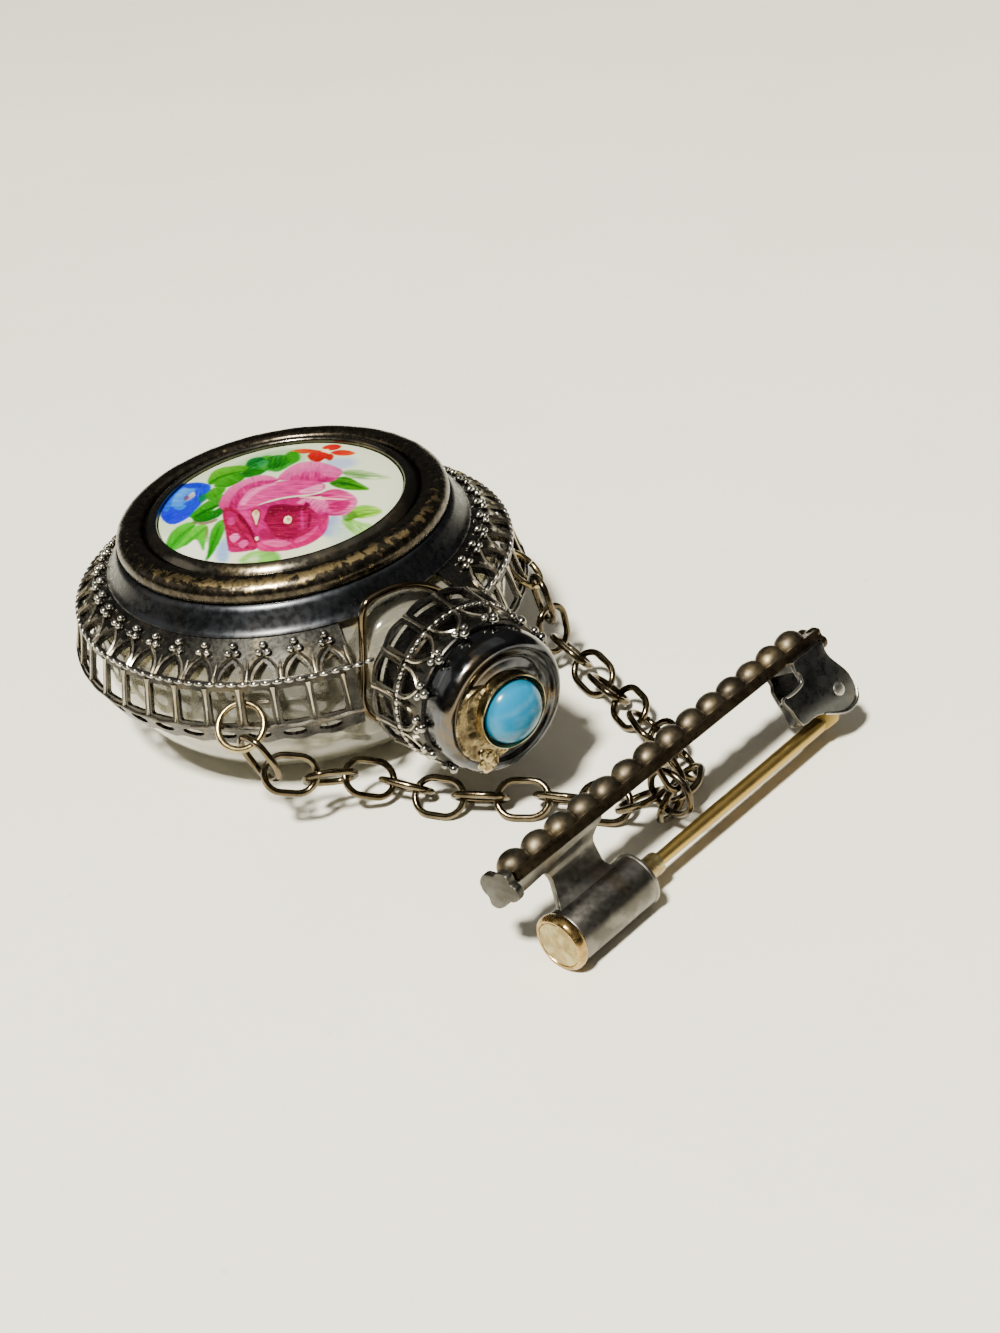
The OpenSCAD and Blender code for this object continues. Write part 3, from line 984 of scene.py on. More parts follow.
        def bars(form: Form) -> None:
            """One rib on a bar, a row of height and radius for each of its sections.

            Args:
                form: Takes it.
            """
            rib = ((0.2, 0.17), (0.45, 0.11), (1.0, 0.085), (1.8, 0.085), (2.6, 0.12), (3.0, 0.19),
                   (3.25, 0.25))
            path = [tier.at(half * (self.window_foot[0] - self.window_taper * y), y, 0.03) for y, _ in rib]
            form.wire(path, [r for _, r in rib], 8, up=tier.normal(half * 18.5, 1.5), flat=0.7)

        tier.along_bays(bars).piece("window_ribs", FLASK, Finish.RIDGE, "silver", replaces=["gallery"])
        start, sweep, n = NECK_TURN + self.gap, 360 - 2 * self.gap, 340
        path = []
        for i in range(n + 1):
            turn = start + sweep * i / n
            wave = 0.06 * math.cos(math.radians(360 * (turn - self.first) / self.pitch))
            path.append(turned_by(turn) @ Vector((18.93, 0, 8.74 - wave)))
        border = Form()
        border.wire(path, 0.14, 6)
        border.piece("border_wire", FLASK, Finish.DARK_SILVER, "silver", replaces=["gallery"])

    def skirt(self) -> None:
        """Skirt turned in under the glass, with ovals and a scalloped edge."""
        oval = [(x - 0.35, y) for x, y in arc(0, 1.0, 0.95, 0.5, 0, 330, 11)]
        tier = Tier(self.skirt_foot, self.skirt_head, self.pitch, self.first, self.windows, oval, 0.3,
                    self.end, self.end, 0.2, 5)
        tier.sheet().piece("skirt_tier", FLASK, Finish.DARK_SILVER, "silver", replaces=["gallery"])


@dataclass(frozen=True)
class Mark:
    """One brush mark: a soft patch whose colour runs to a second one, towards a direction in degrees.

    Its size is the share of its drawn size that it keeps along X and Y.
    """

    outline: Sequence[Point2]
    colour: Colour
    shade: Colour | None = None
    toward: float = 0.0
    soft: float = 0.12
    strength: float = 1.0
    streak: float = 0.25
    size: Point2 = (1.0, 1.0)

    def paint(self, at: np.ndarray, colours: np.ndarray, height: np.ndarray) -> None:
        """Lays the mark over the points that it reaches.

        Args:
            at: Points of the plaque.
            colours: Their colours, which the mark changes.
            height: How thick the paint lies on them, which it raises.
        """
        path = np.array(smooth_path(self.outline, 4, True))
        near = np.flatnonzero(((at > path.min(0) - self.soft) & (at < path.max(0) + self.soft)).all(1))
        p = at[near][:, None] - path
        step = np.roll(path, -1, 0) - path
        share = np.clip((p * step).sum(2) / (step ** 2).sum(1), 0, 1)
        gap = np.linalg.norm(p - share[..., None] * step, axis=2).min(1)
        above = at[near][:, 1:] < path[:, 1]
        rise = np.where(step[:, 1] == 0, 1e-9, step[:, 1])
        crossed = (above != np.roll(above, -1, 1)) & (p[..., 0] < p[..., 1] * step[:, 0] / rise)
        inside = crossed.sum(1) % 2 == 1
        turn = math.radians(self.toward)
        along = at[near] @ (math.cos(turn), math.sin(turn))
        across = at[near] @ (-math.sin(turn), math.cos(turn))
        hair = np.array([noise.noise(Vector((x * 0.9, y * 4.5, self.toward)))
                         for x, y in zip(along, across)])
        weight = np.clip(0.5 + (np.where(inside, gap, -gap) + 0.06 * hair) / (2 * self.soft), 0, 1)
        weight = (weight ** 2 * (3 - 2 * weight) * self.strength)[:, None]
        ends = path @ (math.cos(turn), math.sin(turn))
        run = np.clip((along - ends.min()) / np.ptp(ends) + self.streak * hair, 0, 1)[:, None]
        tone = np.array(self.colour) * (1 - run) + np.array(self.shade or self.colour) * run
        tone = tone * (1 + 0.35 * self.streak * hair[:, None])
        colours[near] += (tone - colours[near]) * weight
        height[near] += 0.25 * weight[:, 0]


@dataclass(frozen=True)
class Easel:
    """The view in which the spray is drawn: a part of the camera's picture, enlarged."""

    corner: Point2 = (120.0, 420.0)
    enlarged: float = 4.6875
    middle: Point2 = (500.0, 666.5)
    focal: float = 2050.0

    def place(self, x: float, y: float) -> Point2:
        """Finds the point of the plaque that lies behind a point of the drawing.

        Args:
            x, y: The point, from the drawing's upper left corner.
        Returns:
            Its place on the plaque, from the flask's middle.
        """
        studio = Studio()
        right, up, back = studio.axes().to_3x3().transposed()
        ray = (right * (self.corner[0] + x / self.enlarged - self.middle[0])
               - up * (self.corner[1] + y / self.enlarged - self.middle[1]) - back * self.focal)
        eye = Vector(studio.eye) + HOME
        z = PLAQUE_TOP
        for _ in range(5):
            at = eye + ray * ((z - eye.z) / ray.z)
            z = dome(at.xy.length)
        return at.x, at.y

    def lay(self, mark: Mark) -> Mark:
        """Lays a drawn mark on the plaque.

        Args:
            mark: The mark, in the drawing's points and its degrees.
        Returns:
            The mark in the flask's millimetres and degrees.
        """
        points = np.array([self.place(x, y) for x, y in mark.outline])
        middle = points.mean(0)
        points = middle + (points - middle) * mark.size
        x, y = np.mean(mark.outline, axis=0)
        turn, reach = math.radians(mark.toward), 20
        start = self.place(x, y)
        end = self.place(x + reach * math.cos(turn), y - reach * math.sin(turn))
        toward = round(math.degrees(math.atan2(end[1] - start[1], end[0] - start[0])))
        return replace(mark, outline=[tuple(p) for p in points], toward=toward)


@dataclass(frozen=True)
class Spray:
    """The painted flower spray: tints in the flask's millimetres, and marks as drawn on the easel."""

    ground: Colour = (215, 218, 190)
    light: float = 1.12
    contrast: float = 1.35
    vivid: float = 1.15
    cover: float = 0.8528
    depth: Colour = (1.7, 1.45, 1.25)
    tints: Sequence[Mark] = (
        Mark(((2, 9.9), (8, 6), (9.9, 0), (8, -6), (4, -8), (5, 0), (3, 6)), (222, 224, 198),
             (226, 226, 204), toward=-20, soft=1.5, strength=0.8, streak=0),
        Mark(((-3, -6.5), (3, -6.5), (5, -9), (0, -10.4), (-5, -9)), (226, 222, 196), (230, 226, 202),
             toward=-90, soft=1.2, strength=0.8, streak=0),
        Mark(((-9.5, -3), (-6, -3.5), (-4, -7), (-4.5, -10), (-8, -7)), (236, 233, 220), (230, 228, 212),
             toward=-90, soft=1.2, strength=0.85, streak=0),
    )
    washes: Sequence[Mark] = (
        Mark(((520, 235), (600, 180), (700, 150), (830, 135), (870, 165), (840, 200), (700, 190),
             (600, 215)), (186, 206, 160), soft=0.6, strength=0.8, streak=0.1),
        Mark(((960, 190), (1080, 178), (1105, 210), (1000, 235)), (186, 188, 214), soft=0.6, strength=0.7,
             streak=0.1),
        Mark(((950, 490), (1000, 448), (1045, 470), (1035, 530), (980, 550), (935, 525)), (160, 158, 200),
             (195, 198, 215), soft=0.4, strength=0.75, streak=0.1),
        Mark(((452, 610), (490, 555), (512, 620), (495, 665), (455, 655)), (168, 180, 212), soft=0.3,
             strength=0.8, streak=0.1),
        Mark(((1000, 510), (1080, 480), (1105, 560), (1000, 600)), (200, 208, 190), soft=0.6, strength=0.7,
             streak=0.1),
    )
    red_flower: Sequence[Mark] = (
        Mark(((800, 146), (850, 136), (900, 138), (945, 146), (900, 154), (850, 156)), (196, 88, 48),
             (214, 120, 74), toward=180, strength=0.9),
        Mark(((878, 168), (905, 150), (945, 148), (978, 160), (960, 180), (930, 198), (900, 192)),
             (204, 84, 38), (178, 70, 36), toward=240, soft=0.1, strength=0.95),
        Mark(((948, 130), (975, 117), (1012, 114), (1038, 124), (1010, 140), (970, 141)), (210, 92, 46),
             (190, 76, 40), soft=0.1, strength=0.95),
        Mark(((990, 152), (1030, 140), (1080, 145), (1102, 156), (1070, 166), (1020, 165)), (198, 86, 50),
             (214, 118, 78), soft=0.1, strength=0.95),
        Mark(((958, 176), (985, 158), (1002, 170), (985, 190)), (186, 74, 42), soft=0.1, strength=0.85),
        Mark(((948, 141), (975, 136), (982, 147), (960, 151)), (238, 220, 186), soft=0.08, streak=0),
    )
    dark_leaves: Sequence[Mark] = (
        Mark(((575, 262), (592, 205), (640, 180), (700, 165), (740, 188), (780, 158), (832, 150),
             (842, 185), (800, 212), (740, 242), (690, 238), (640, 258)), (96, 148, 84), (120, 166, 92),
             toward=60, soft=0.2, strength=0.95),
        Mark(((690, 178), (760, 163), (805, 186), (760, 216), (700, 228)), (62, 118, 68), (92, 144, 80),
             toward=60, soft=0.14, strength=0.85, streak=0.5),
        Mark(((785, 152), (830, 150), (842, 180), (812, 200), (786, 182)), (104, 158, 80), strength=0.8),
        Mark(((598, 192), (650, 174), (684, 190), (640, 232), (600, 240)), (48, 112, 76), (80, 140, 84),
             toward=200, soft=0.14, strength=0.85, streak=0.5),
        Mark(((520, 262), (600, 232), (680, 238), (640, 262), (560, 272)), (70, 126, 66), soft=0.14,
             strength=0.8, streak=0.5),
        Mark(((640, 205), (676, 186), (700, 200), (668, 226)), (120, 170, 120), strength=0.6),
    )
    pale_leaves: Sequence[Mark] = (
        Mark(((412, 300), (425, 255), (470, 225), (560, 213), (604, 222), (560, 250), (500, 266),
             (450, 298)), (146, 186, 84), (116, 160, 66), toward=330, streak=0.4),
        Mark(((440, 305), (500, 264), (560, 260), (584, 272), (540, 302), (480, 318)), (118, 168, 74),
             (92, 142, 62), toward=330, strength=0.95, streak=0.4),
        Mark(((420, 292), (470, 262), (560, 240), (562, 246), (476, 270), (426, 300)), (84, 134, 60),
             soft=0.07, strength=0.7),
    )
    blue_flower: Sequence[Mark] = (
        Mark(((192, 440), (200, 405), (228, 370), (262, 330), (310, 300), (370, 293), (422, 308),
             (416, 346), (386, 388), (340, 432), (290, 472), (240, 488), (208, 468)), (92, 128, 208),
             (56, 86, 196), toward=215, streak=0.3),
        Mark(((232, 402), (250, 360), (290, 322), (340, 308), (372, 328), (332, 372), (280, 402)),
             (146, 182, 218), (120, 156, 214), soft=0.25, strength=0.9, streak=0.4),
        Mark(((192, 440), (222, 430), (290, 440), (330, 420), (346, 436), (290, 476), (240, 488),
             (204, 470)), (50, 80, 202), (66, 100, 208), toward=30, strength=0.9, streak=0.4),
        Mark(((362, 300), (402, 299), (422, 318), (404, 362), (362, 392), (350, 350)), (62, 92, 202),
             (86, 116, 206), toward=90, soft=0.14, strength=0.9, streak=0.4),
        Mark(((296, 302), (370, 295), (384, 314), (318, 320)), (74, 92, 188), strength=0.8),
        Mark(((202, 420), (224, 386), (244, 372), (240, 402), (222, 430)), (86, 140, 206), strength=0.8),
        Mark(((318, 354), (346, 338), (352, 356), (332, 372), (308, 378)), (214, 200, 196), (176, 160, 176),
             toward=250, soft=0.08, strength=0.95, streak=0),
        Mark(((300, 362), (318, 352), (322, 366), (304, 378)), (150, 112, 116), soft=0.08, strength=0.8,
             streak=0),
        Mark(((250, 412), (280, 396), (312, 402), (282, 424)), (124, 172, 214), strength=0.7),
    )
    mid_leaves: Sequence[Mark] = (
        Mark(((398, 352), (440, 318), (494, 318), (474, 350), (424, 376)), (128, 172, 84), (104, 152, 74),
             toward=320, streak=0.4),
        Mark(((326, 452), (380, 400), (430, 370), (484, 348), (474, 388), (420, 432), (370, 462)),
             (122, 172, 88), (84, 144, 72), toward=320, streak=0.4),
        Mark(((340, 458), (390, 432), (440, 424), (488, 400), (476, 442), (420, 472), (360, 480)),
             (84, 142, 74), (60, 120, 66), toward=320, strength=0.95, streak=0.4),
        Mark(((352, 446), (410, 416), (476, 392), (478, 400), (414, 426), (358, 456)), (62, 112, 58),
             soft=0.07, strength=0.7),
        Mark(((368, 362), (402, 344), (412, 366), (378, 388)), (92, 152, 88), strength=0.8),
    )
    left_leaves: Sequence[Mark] = (
        Mark(((212, 592), (238, 530), (290, 490), (352, 477), (346, 510), (300, 562), (260, 602),
             (232, 606)), (138, 190, 98), (106, 168, 74), toward=240, streak=0.35),
        Mark(((250, 612), (300, 560), (350, 502), (392, 488), (414, 510), (402, 562), (392, 612),
             (372, 580), (350, 560), (300, 592)), (148, 196, 102), (118, 178, 84), toward=300, streak=0.35),
        Mark(((402, 658), (414, 600), (420, 540), (446, 490), (484, 468), (488, 520), (462, 580),
             (430, 632)), (122, 180, 86), (86, 146, 70), toward=280, streak=0.35),
        Mark(((408, 640), (428, 580), (462, 500), (470, 502), (442, 580), (418, 640)), (84, 140, 66),
             soft=0.07, strength=0.75),
        Mark(((232, 592), (282, 534), (344, 492), (348, 500), (292, 546), (244, 598)), (92, 150, 66),
             soft=0.07, strength=0.65),
        Mark(((300, 580), (352, 536), (398, 500), (404, 508), (360, 550), (312, 588)), (98, 154, 72),
             soft=0.07, strength=0.55),
        Mark(((344, 476), (400, 478), (452, 462), (450, 474), (400, 490), (346, 486)), (158, 132, 112),
             soft=0.1, strength=0.8, streak=0),
        Mark(((404, 560), (402, 510), (412, 498), (414, 540), (410, 570)), (164, 140, 116), soft=0.09,
             strength=0.7, streak=0),
    )
    low_leaf: Sequence[Mark] = (
        Mark(((556, 662), (600, 625), (660, 611), (722, 614), (752, 640), (742, 666), (690, 676),
             (620, 676)), (172, 202, 124), (150, 188, 108), soft=0.2, strength=0.9, streak=0.4),
        Mark(((590, 664), (620, 636), (652, 640), (640, 668)), (208, 218, 176), soft=0.2, strength=0.8),
    )
    right_leaves: Sequence[Mark] = (
        Mark(((1045, 240), (1120, 234), (1200, 250), (1272, 272), (1200, 279), (1120, 276), (1060, 262)),
             (160, 178, 122), (206, 210, 172), soft=0.18, strength=0.9, streak=0.4),
        Mark(((1050, 246), (1140, 254), (1230, 268), (1140, 262), (1060, 256)), (128, 150, 98), soft=0.1,
             strength=0.6),
        Mark(((982, 296), (1020, 270), (1070, 268), (1122, 295), (1168, 325), (1100, 329), (1030, 320)),
             (104, 142, 76), (128, 160, 90), streak=0.4),
        Mark(((990, 298), (1060, 292), (1150, 322), (1060, 304)), (74, 112, 60), soft=0.07, strength=0.7),
        Mark(((1062, 452), (1090, 415), (1140, 399), (1200, 407), (1230, 430), (1190, 451), (1130, 461)),
             (158, 190, 98), (184, 204, 124), streak=0.4),
        Mark(((1038, 472), (1080, 464), (1130, 480), (1178, 490), (1160, 522), (1110, 542), (1075, 520)),
             (164, 196, 112), (188, 206, 146), toward=320, soft=0.14, strength=0.95, streak=0.4),
        Mark(((1046, 442), (1090, 430), (1114, 446), (1080, 472), (1050, 470)), (128, 148, 92), soft=0.14,
             strength=0.7),
        Mark(((1060, 462), (1140, 440), (1216, 430), (1140, 450), (1070, 472)), (120, 150, 76), soft=0.07,
             strength=0.6),
    )
    rose: Sequence[Mark] = (
        Mark(((742, 278), (770, 240), (820, 208), (880, 194), (950, 199), (1010, 219), (1044, 240),
             (1022, 270), (980, 292), (900, 292), (820, 286)), (222, 152, 176), (200, 106, 142), toward=270,
             streak=0.35),
        Mark(((790, 282), (850, 248), (940, 240), (1004, 250), (984, 288), (880, 291)), (192, 88, 128),
             (206, 116, 150), toward=90, soft=0.18, strength=0.85, streak=0.4),
        Mark(((940, 240), (1010, 228), (1038, 242), (1010, 268), (960, 262)), (214, 140, 166), soft=0.14,
             strength=0.7, streak=0.3),
        Mark(((462, 406), (475, 365), (510, 320), (570, 285), (640, 261), (702, 261), (745, 282),
             (700, 292), (640, 302), (590, 332), (562, 380), (552, 424), (500, 428)), (220, 150, 174),
             (196, 96, 134), toward=300, streak=0.35),
        Mark(((508, 424), (524, 372), (566, 320), (640, 288), (722, 282), (762, 272), (702, 300),
             (622, 322), (578, 362), (564, 424)), (176, 72, 112), (196, 100, 138), toward=120, strength=0.9,
             streak=0.4),
        Mark(((548, 420), (570, 370), (620, 325), (700, 296), (790, 284), (880, 282), (952, 296),
             (958, 322), (900, 346), (820, 354), (740, 367), (660, 392), (600, 424)), (214, 124, 158),
             (204, 106, 146), soft=0.1, streak=0.35),
        Mark(((562, 386), (600, 346), (660, 312), (730, 294), (722, 306), (664, 328), (612, 366),
             (584, 398)), (228, 160, 184), strength=0.8, streak=0.3),
        Mark(((838, 334), (900, 310), (952, 299), (942, 332), (880, 346)), (226, 168, 186), soft=0.14,
             strength=0.8, streak=0.3),
        Mark(((600, 424), (680, 392), (780, 366), (880, 356), (960, 340), (958, 350), (880, 368),
             (780, 378), (690, 402), (620, 430)), (176, 74, 116), soft=0.1, strength=0.85, streak=0.3),
        Mark(((942, 350), (1000, 324), (1060, 334), (1108, 366), (1108, 402), (1062, 442), (1010, 447),
             (958, 432)), (200, 100, 136), (220, 148, 172), streak=0.35),
        Mark(((980, 398), (1030, 380), (1080, 384), (1050, 420), (1000, 430)), (186, 82, 120), soft=0.16,
             strength=0.7, streak=0.4),
        Mark(((552, 432), (600, 416), (700, 386), (800, 371), (880, 378), (950, 418), (978, 450),
             (962, 502), (902, 562), (820, 594), (740, 608), (688, 604), (650, 572), (620, 532),
             (580, 482)), (196, 92, 136), (186, 76, 122), toward=320, soft=0.1, streak=0.3),
        Mark(((826, 384), (900, 364), (962, 374), (978, 420), (950, 442), (900, 426), (860, 402)),
             (206, 118, 152), (222, 150, 174), toward=45, soft=0.1, strength=0.95, streak=0.35),
        Mark(((672, 476), (698, 420), (740, 398), (800, 410), (850, 398), (902, 420), (930, 462),
             (904, 512), (842, 548), (770, 563), (718, 542), (688, 512)), (162, 52, 98), (176, 66, 110),
             streak=0.35),
        Mark(((696, 408), (760, 394), (848, 404), (870, 384), (892, 402), (862, 424), (800, 432),
             (742, 428), (722, 454), (698, 446)), (146, 42, 88), soft=0.1, strength=0.85, streak=0.3),
        Mark(((838, 438), (880, 428), (932, 452), (922, 492), (872, 522), (830, 502)), (176, 66, 110),
             (192, 88, 128), soft=0.1, strength=0.85, streak=0.5),
        Mark(((846, 430), (858, 430), (862, 500), (850, 508)), (206, 112, 150), soft=0.08, strength=0.7),
        Mark(((884, 440), (896, 446), (890, 496), (878, 502)), (146, 44, 90), soft=0.08, strength=0.7),
        Mark(((556, 432), (600, 424), (640, 440), (682, 482), (702, 524), (640, 524), (590, 492)),
             (210, 114, 152), (198, 94, 136), toward=320, strength=0.95, streak=0.35),
        Mark(((566, 468), (590, 498), (622, 542), (600, 548), (564, 502)), (226, 158, 182), soft=0.1,
             strength=0.85, streak=0.3),
        Mark(((652, 520), (700, 508), (730, 548), (700, 560), (662, 552)), (176, 68, 112), strength=0.7,
             streak=0.3),
        Mark(((640, 572), (700, 560), (780, 572), (860, 556), (940, 502), (978, 448), (964, 522),
             (902, 574), (820, 604), (740, 616), (680, 616), (644, 604)), (208, 112, 146), (196, 88, 128),
             toward=330, soft=0.1, strength=0.95, streak=0.35),
        Mark(((664, 572), (740, 560), (802, 576), (760, 594), (700, 588)), (226, 150, 172), soft=0.14,
             strength=0.7, streak=0.4),
        Mark(((820, 560), (880, 530), (930, 490), (920, 520), (870, 560), (830, 576)), (222, 140, 164),
             strength=0.6, streak=0.4),
        Mark(((486, 414), (540, 420), (572, 450), (602, 500), (632, 560), (642, 602), (592, 614),
             (520, 617), (504, 590), (494, 520), (484, 470)), (172, 56, 102), (184, 72, 116), toward=320,
             soft=0.1, streak=0.35),
        Mark(((494, 432), (530, 430), (552, 456), (528, 470), (500, 462)), (192, 88, 130), strength=0.8,
             streak=0.4),
        Mark(((500, 474), (526, 456), (542, 478), (518, 494)), (208, 118, 154), soft=0.1, strength=0.8),
        Mark(((512, 546), (546, 530), (562, 552), (530, 576)), (226, 160, 184), soft=0.1, strength=0.9),
        Mark(((552, 580), (584, 560), (602, 578), (572, 602)), (216, 134, 164), soft=0.1, strength=0.9),
        Mark(((508, 590), (560, 602), (620, 604), (590, 616), (520, 619)), (196, 92, 132), soft=0.1,
             strength=0.8),
        Mark(((560, 440), (590, 470), (622, 520), (640, 568), (630, 570), (606, 524), (572, 476),
             (552, 452)), (142, 40, 84), soft=0.08, strength=0.85, streak=0.2),
    )
    glints: Sequence[Mark] = (
        Mark(((606, 434), (622, 406), (656, 410), (668, 444), (658, 484), (642, 516), (622, 486),
             (610, 458)), (160, 104, 84), soft=0.08, strength=0.85, streak=0, size=(0.72, 0.78)),
        Mark(((614, 434), (630, 413), (652, 417), (658, 444), (650, 480), (641, 504), (628, 480),
             (617, 456)), (240, 220, 196), (226, 186, 180), toward=270, soft=0.06, streak=0,
             size=(0.72, 0.78)),
        Mark(((632, 424), (646, 428), (642, 446), (630, 440)), (196, 164, 124), soft=0.06, strength=0.7,
             streak=0),
        Mark(((752, 468), (766, 444), (798, 438), (818, 456), (814, 484), (790, 498), (762, 490)),
             (150, 92, 74), soft=0.1, strength=0.75, streak=0, size=(0.72, 0.78)),
        Mark(((760, 468), (772, 448), (796, 444), (812, 458), (808, 482), (788, 492), (766, 486)),
             (244, 230, 208), (228, 204, 180), toward=270, soft=0.07, streak=0, size=(0.72, 0.78)),
        Mark(((784, 456), (800, 462), (794, 474), (780, 468)), (196, 160, 124), soft=0.05, strength=0.7,
             streak=0),
        Mark(((628, 556), (640, 544), (654, 554), (650, 572), (634, 576)), (150, 92, 80), soft=0.07,
             strength=0.7, streak=0),
        Mark(((632, 552), (644, 546), (650, 558), (640, 568)), (240, 206, 198), soft=0.06, streak=0),
        Mark(((838, 362), (900, 358), (980, 364), (1070, 372), (980, 374), (900, 369)), (236, 206, 190),
             soft=0.06, strength=0.75, streak=0),
        Mark(((940, 432), (1000, 440), (1060, 436), (1010, 450), (960, 446)), (180, 84, 122), soft=0.1,
             strength=0.6),
    )

    def marks(self) -> list[Mark]:
        """Every mark on the plaque, in the order in which they are laid.

        Returns:
            The marks in the flask's millimetres.
        """
        easel = Easel()
        drawn = (self.washes, self.red_flower, self.dark_leaves, self.pale_leaves, self.blue_flower,
                 self.mid_leaves, self.left_leaves, self.low_leaf, self.right_leaves, self.rose, self.glints)
        return [*self.tints, *[easel.lay(mark) for group in drawn for mark in group]]

    def paint(self, at: np.ndarray) -> tuple[np.ndarray, np.ndarray]:
        """Paints the plaque.

        Args:
            at: Points of the plaque.
        Returns:
            Their colours as light, and how thick the paint lies on them.
        """
        colours = np.tile(np.array(self.ground, float), (len(at), 1))
        height = np.zeros(len(at))
        for mark in self.marks():
            mark.paint(at, colours, height)
        level = colours / 255
        level = np.where(level <= 0.04045, level / 12.92, ((level + 0.055) / 1.055) ** 2.4)
        grey = level.mean(1, keepdims=True)
        level = np.clip(self.light * grey ** self.contrast + (level - grey) * self.vivid, 0.002, 1)
        return self.cover * level ** np.array(self.depth), height


@dataclass
class Flask:
    """The glass body and neck, the painted plaque and the wire round the neck."""

    neck_face: float = 15.0
    wall: float = 1.3
    bore: float = 1.85
    plaque_base: float = 16.78
    plaque_edge: float = 17.7
    loop_roll: float = -12.0
    loop_points: Sequence[Point2] = (
        (-4.2, -3.2), (-4.15, -1.5), (-4.15, 0.6), (-4.22, 2.4), (-4.25, 3.7), (-4.12, 4.65), (-3.6, 5.2),
        (-2.55, 5.5), (-1.35, 5.65), (-0.1, 5.6), (1.1, 5.3), (2.25, 4.78), (3.25, 4.05), (3.95, 3.05),
        (4.25, 1.8), (4.3, 0), (4.3, -2), (4.2, -3.5), (3.7, -4.6), (2.7, -5.25), (1.2, -5.45), (-0.6, -5.5),
        (-2.3, -5.35), (-3.5, -4.6))

    def build(self) -> None:
        """Builds the glass, the plaque and the wire loop."""
        self.glass()
        self.plaque()
        self.loop()

    def shell(self, profile: Sequence[Point2], face: float) -> Form:
        """A turned body, cut flat where the neck starts.

        Args:
            profile: Radius and height from the foot to the top.
            face: Distance of the flat from the axis.
        Returns:
            The closed form.
        """
        form = Form()
        form.turn(profile, 128)
        form.settle()
        out = Vector((math.cos(math.radians(NECK_TURN)), math.sin(math.radians(NECK_TURN)), 0))
        bmesh.ops.bisect_plane(form.bm, geom=form.geom(), dist=1e-5, plane_co=out * face, plane_no=out,
                               clear_outer=True)
        bmesh.ops.holes_fill(form.bm, edges=[e for e in form.bm.edges if e.is_boundary], sides=0)
        return form

    def glass(self) -> None:
        """Hollow round body with a flat foot, a shoulder and a bored neck."""
        body = self.shell([(0, 0), (8.9, 0), (9.3, 0.04)] + arc(9.5, 8.6, 7.6, 8.6, -84, 0, 20)
                          + [(17.12, 10.2), (17.0, 11.6), (16.2, 12.7), (14.6, 13.6), (12, 14), (0, 14.2)],
                          self.neck_face)
        body.round_edges(0.7, 50, 3)
        hollow = self.shell([(0, self.wall + 0.4), (8.6, self.wall + 0.4)]
                            + arc(9.2, 8.6, 6.6, 7.3, -80, 0, 14)
                            + [(15.8, 11), (14.2, 12.3), (12, 12.7), (0, 12.9)], self.neck_face - self.wall)
        neck = Form()
        neck.turn([(0, 10), (5.2, 14.9), (4.4, 15.1), (3.95, 15.5), (3.72, 16.2), (3.7, 23.3), (3.55, 23.65),
                   (3.3, 23.8), (0, 23.8)], 64)
        bore = Form()
        bore.turn([(0, 12), (self.bore, 12), (self.bore, 24.5), (0, 24.5)], 48)
        turn = FLASK.inverted() @ NECK
        solids = []
        for name, form, place in (("scent_flask", body, Matrix.Identity(4)), ("neck", neck, turn),
                                  ("hollow", hollow, Matrix.Identity(4)), ("bore", bore, turn)):
            form.settle()
            mesh = bpy.data.meshes.new(name)
            form.bm.to_mesh(mesh)
            mesh.transform(place)
            solids.append(bpy.data.objects.new(name, mesh))
            bpy.context.scene.collection.objects.link(solids[-1])
        for tool, how in zip(solids[1:], ("UNION", "DIFFERENCE", "DIFFERENCE")):
            join = solids[0].modifiers.new(how, "BOOLEAN")
            join.object, join.operation, join.solver = tool, how, "EXACT"
        graph = bpy.context.evaluated_depsgraph_get()
        whole = Form()
        mesh = bpy.data.meshes.new_from_object(solids[0].evaluated_get(graph))
        whole.bm.from_mesh(mesh)
        for made in solids:
            bpy.data.objects.remove(made)
        whole.piece("flask_bottle", FLASK, Finish.OLD_GLASS, "glass", replaces=["flask_glass"], crease=45)

    def plaque(self) -> None:
        """Domed porcelain disc with its painted spray."""
        form = Form()
        rings, r = 120, PLAQUE_RADIUS
        face = [(r * i / rings, dome(r * i / rings)) for i in range(rings - 1, -1, -1)]
        form.turn([(0, self.plaque_base), (r, self.plaque_base), (r, self.plaque_edge), *face], 520)
        made = form.piece("painted_plaque", FLASK, Finish.PORCELAIN, "porcelain", replaces=["plaque"])
        count = len(made.data.vertices)
        co = np.zeros(count * 3)
        made.data.vertices.foreach_get("co", co)
        level, height = Spray().paint((co.reshape(-1, 3) / MM + np.array(HOME))[:, :2])
        paint = made.data.attributes.new("paint", "FLOAT_COLOR", "POINT")
        paint.data.foreach_set("color", np.hstack([level, np.ones((count, 1))]).ravel())
        made.data.attributes.new("relief", "FLOAT", "POINT").data.foreach_set("value", height)

    def loop(self) -> None:
        """Rounded rectangular wire round the neck."""
        path = [turned_by(self.loop_roll) @ Vector((-up, side, 15.6))
                for side, up in smooth_path(self.loop_points, 3, True)]
        form = Form()
        form.wire(path, [0.32 * (1 + 0.04 * noise.noise(p * 0.9)) for p in path], 12, closed=True)
        form.piece("neck_loop", NECK, Finish.BRONZE, "bronze", replaces=["neck_wire"])


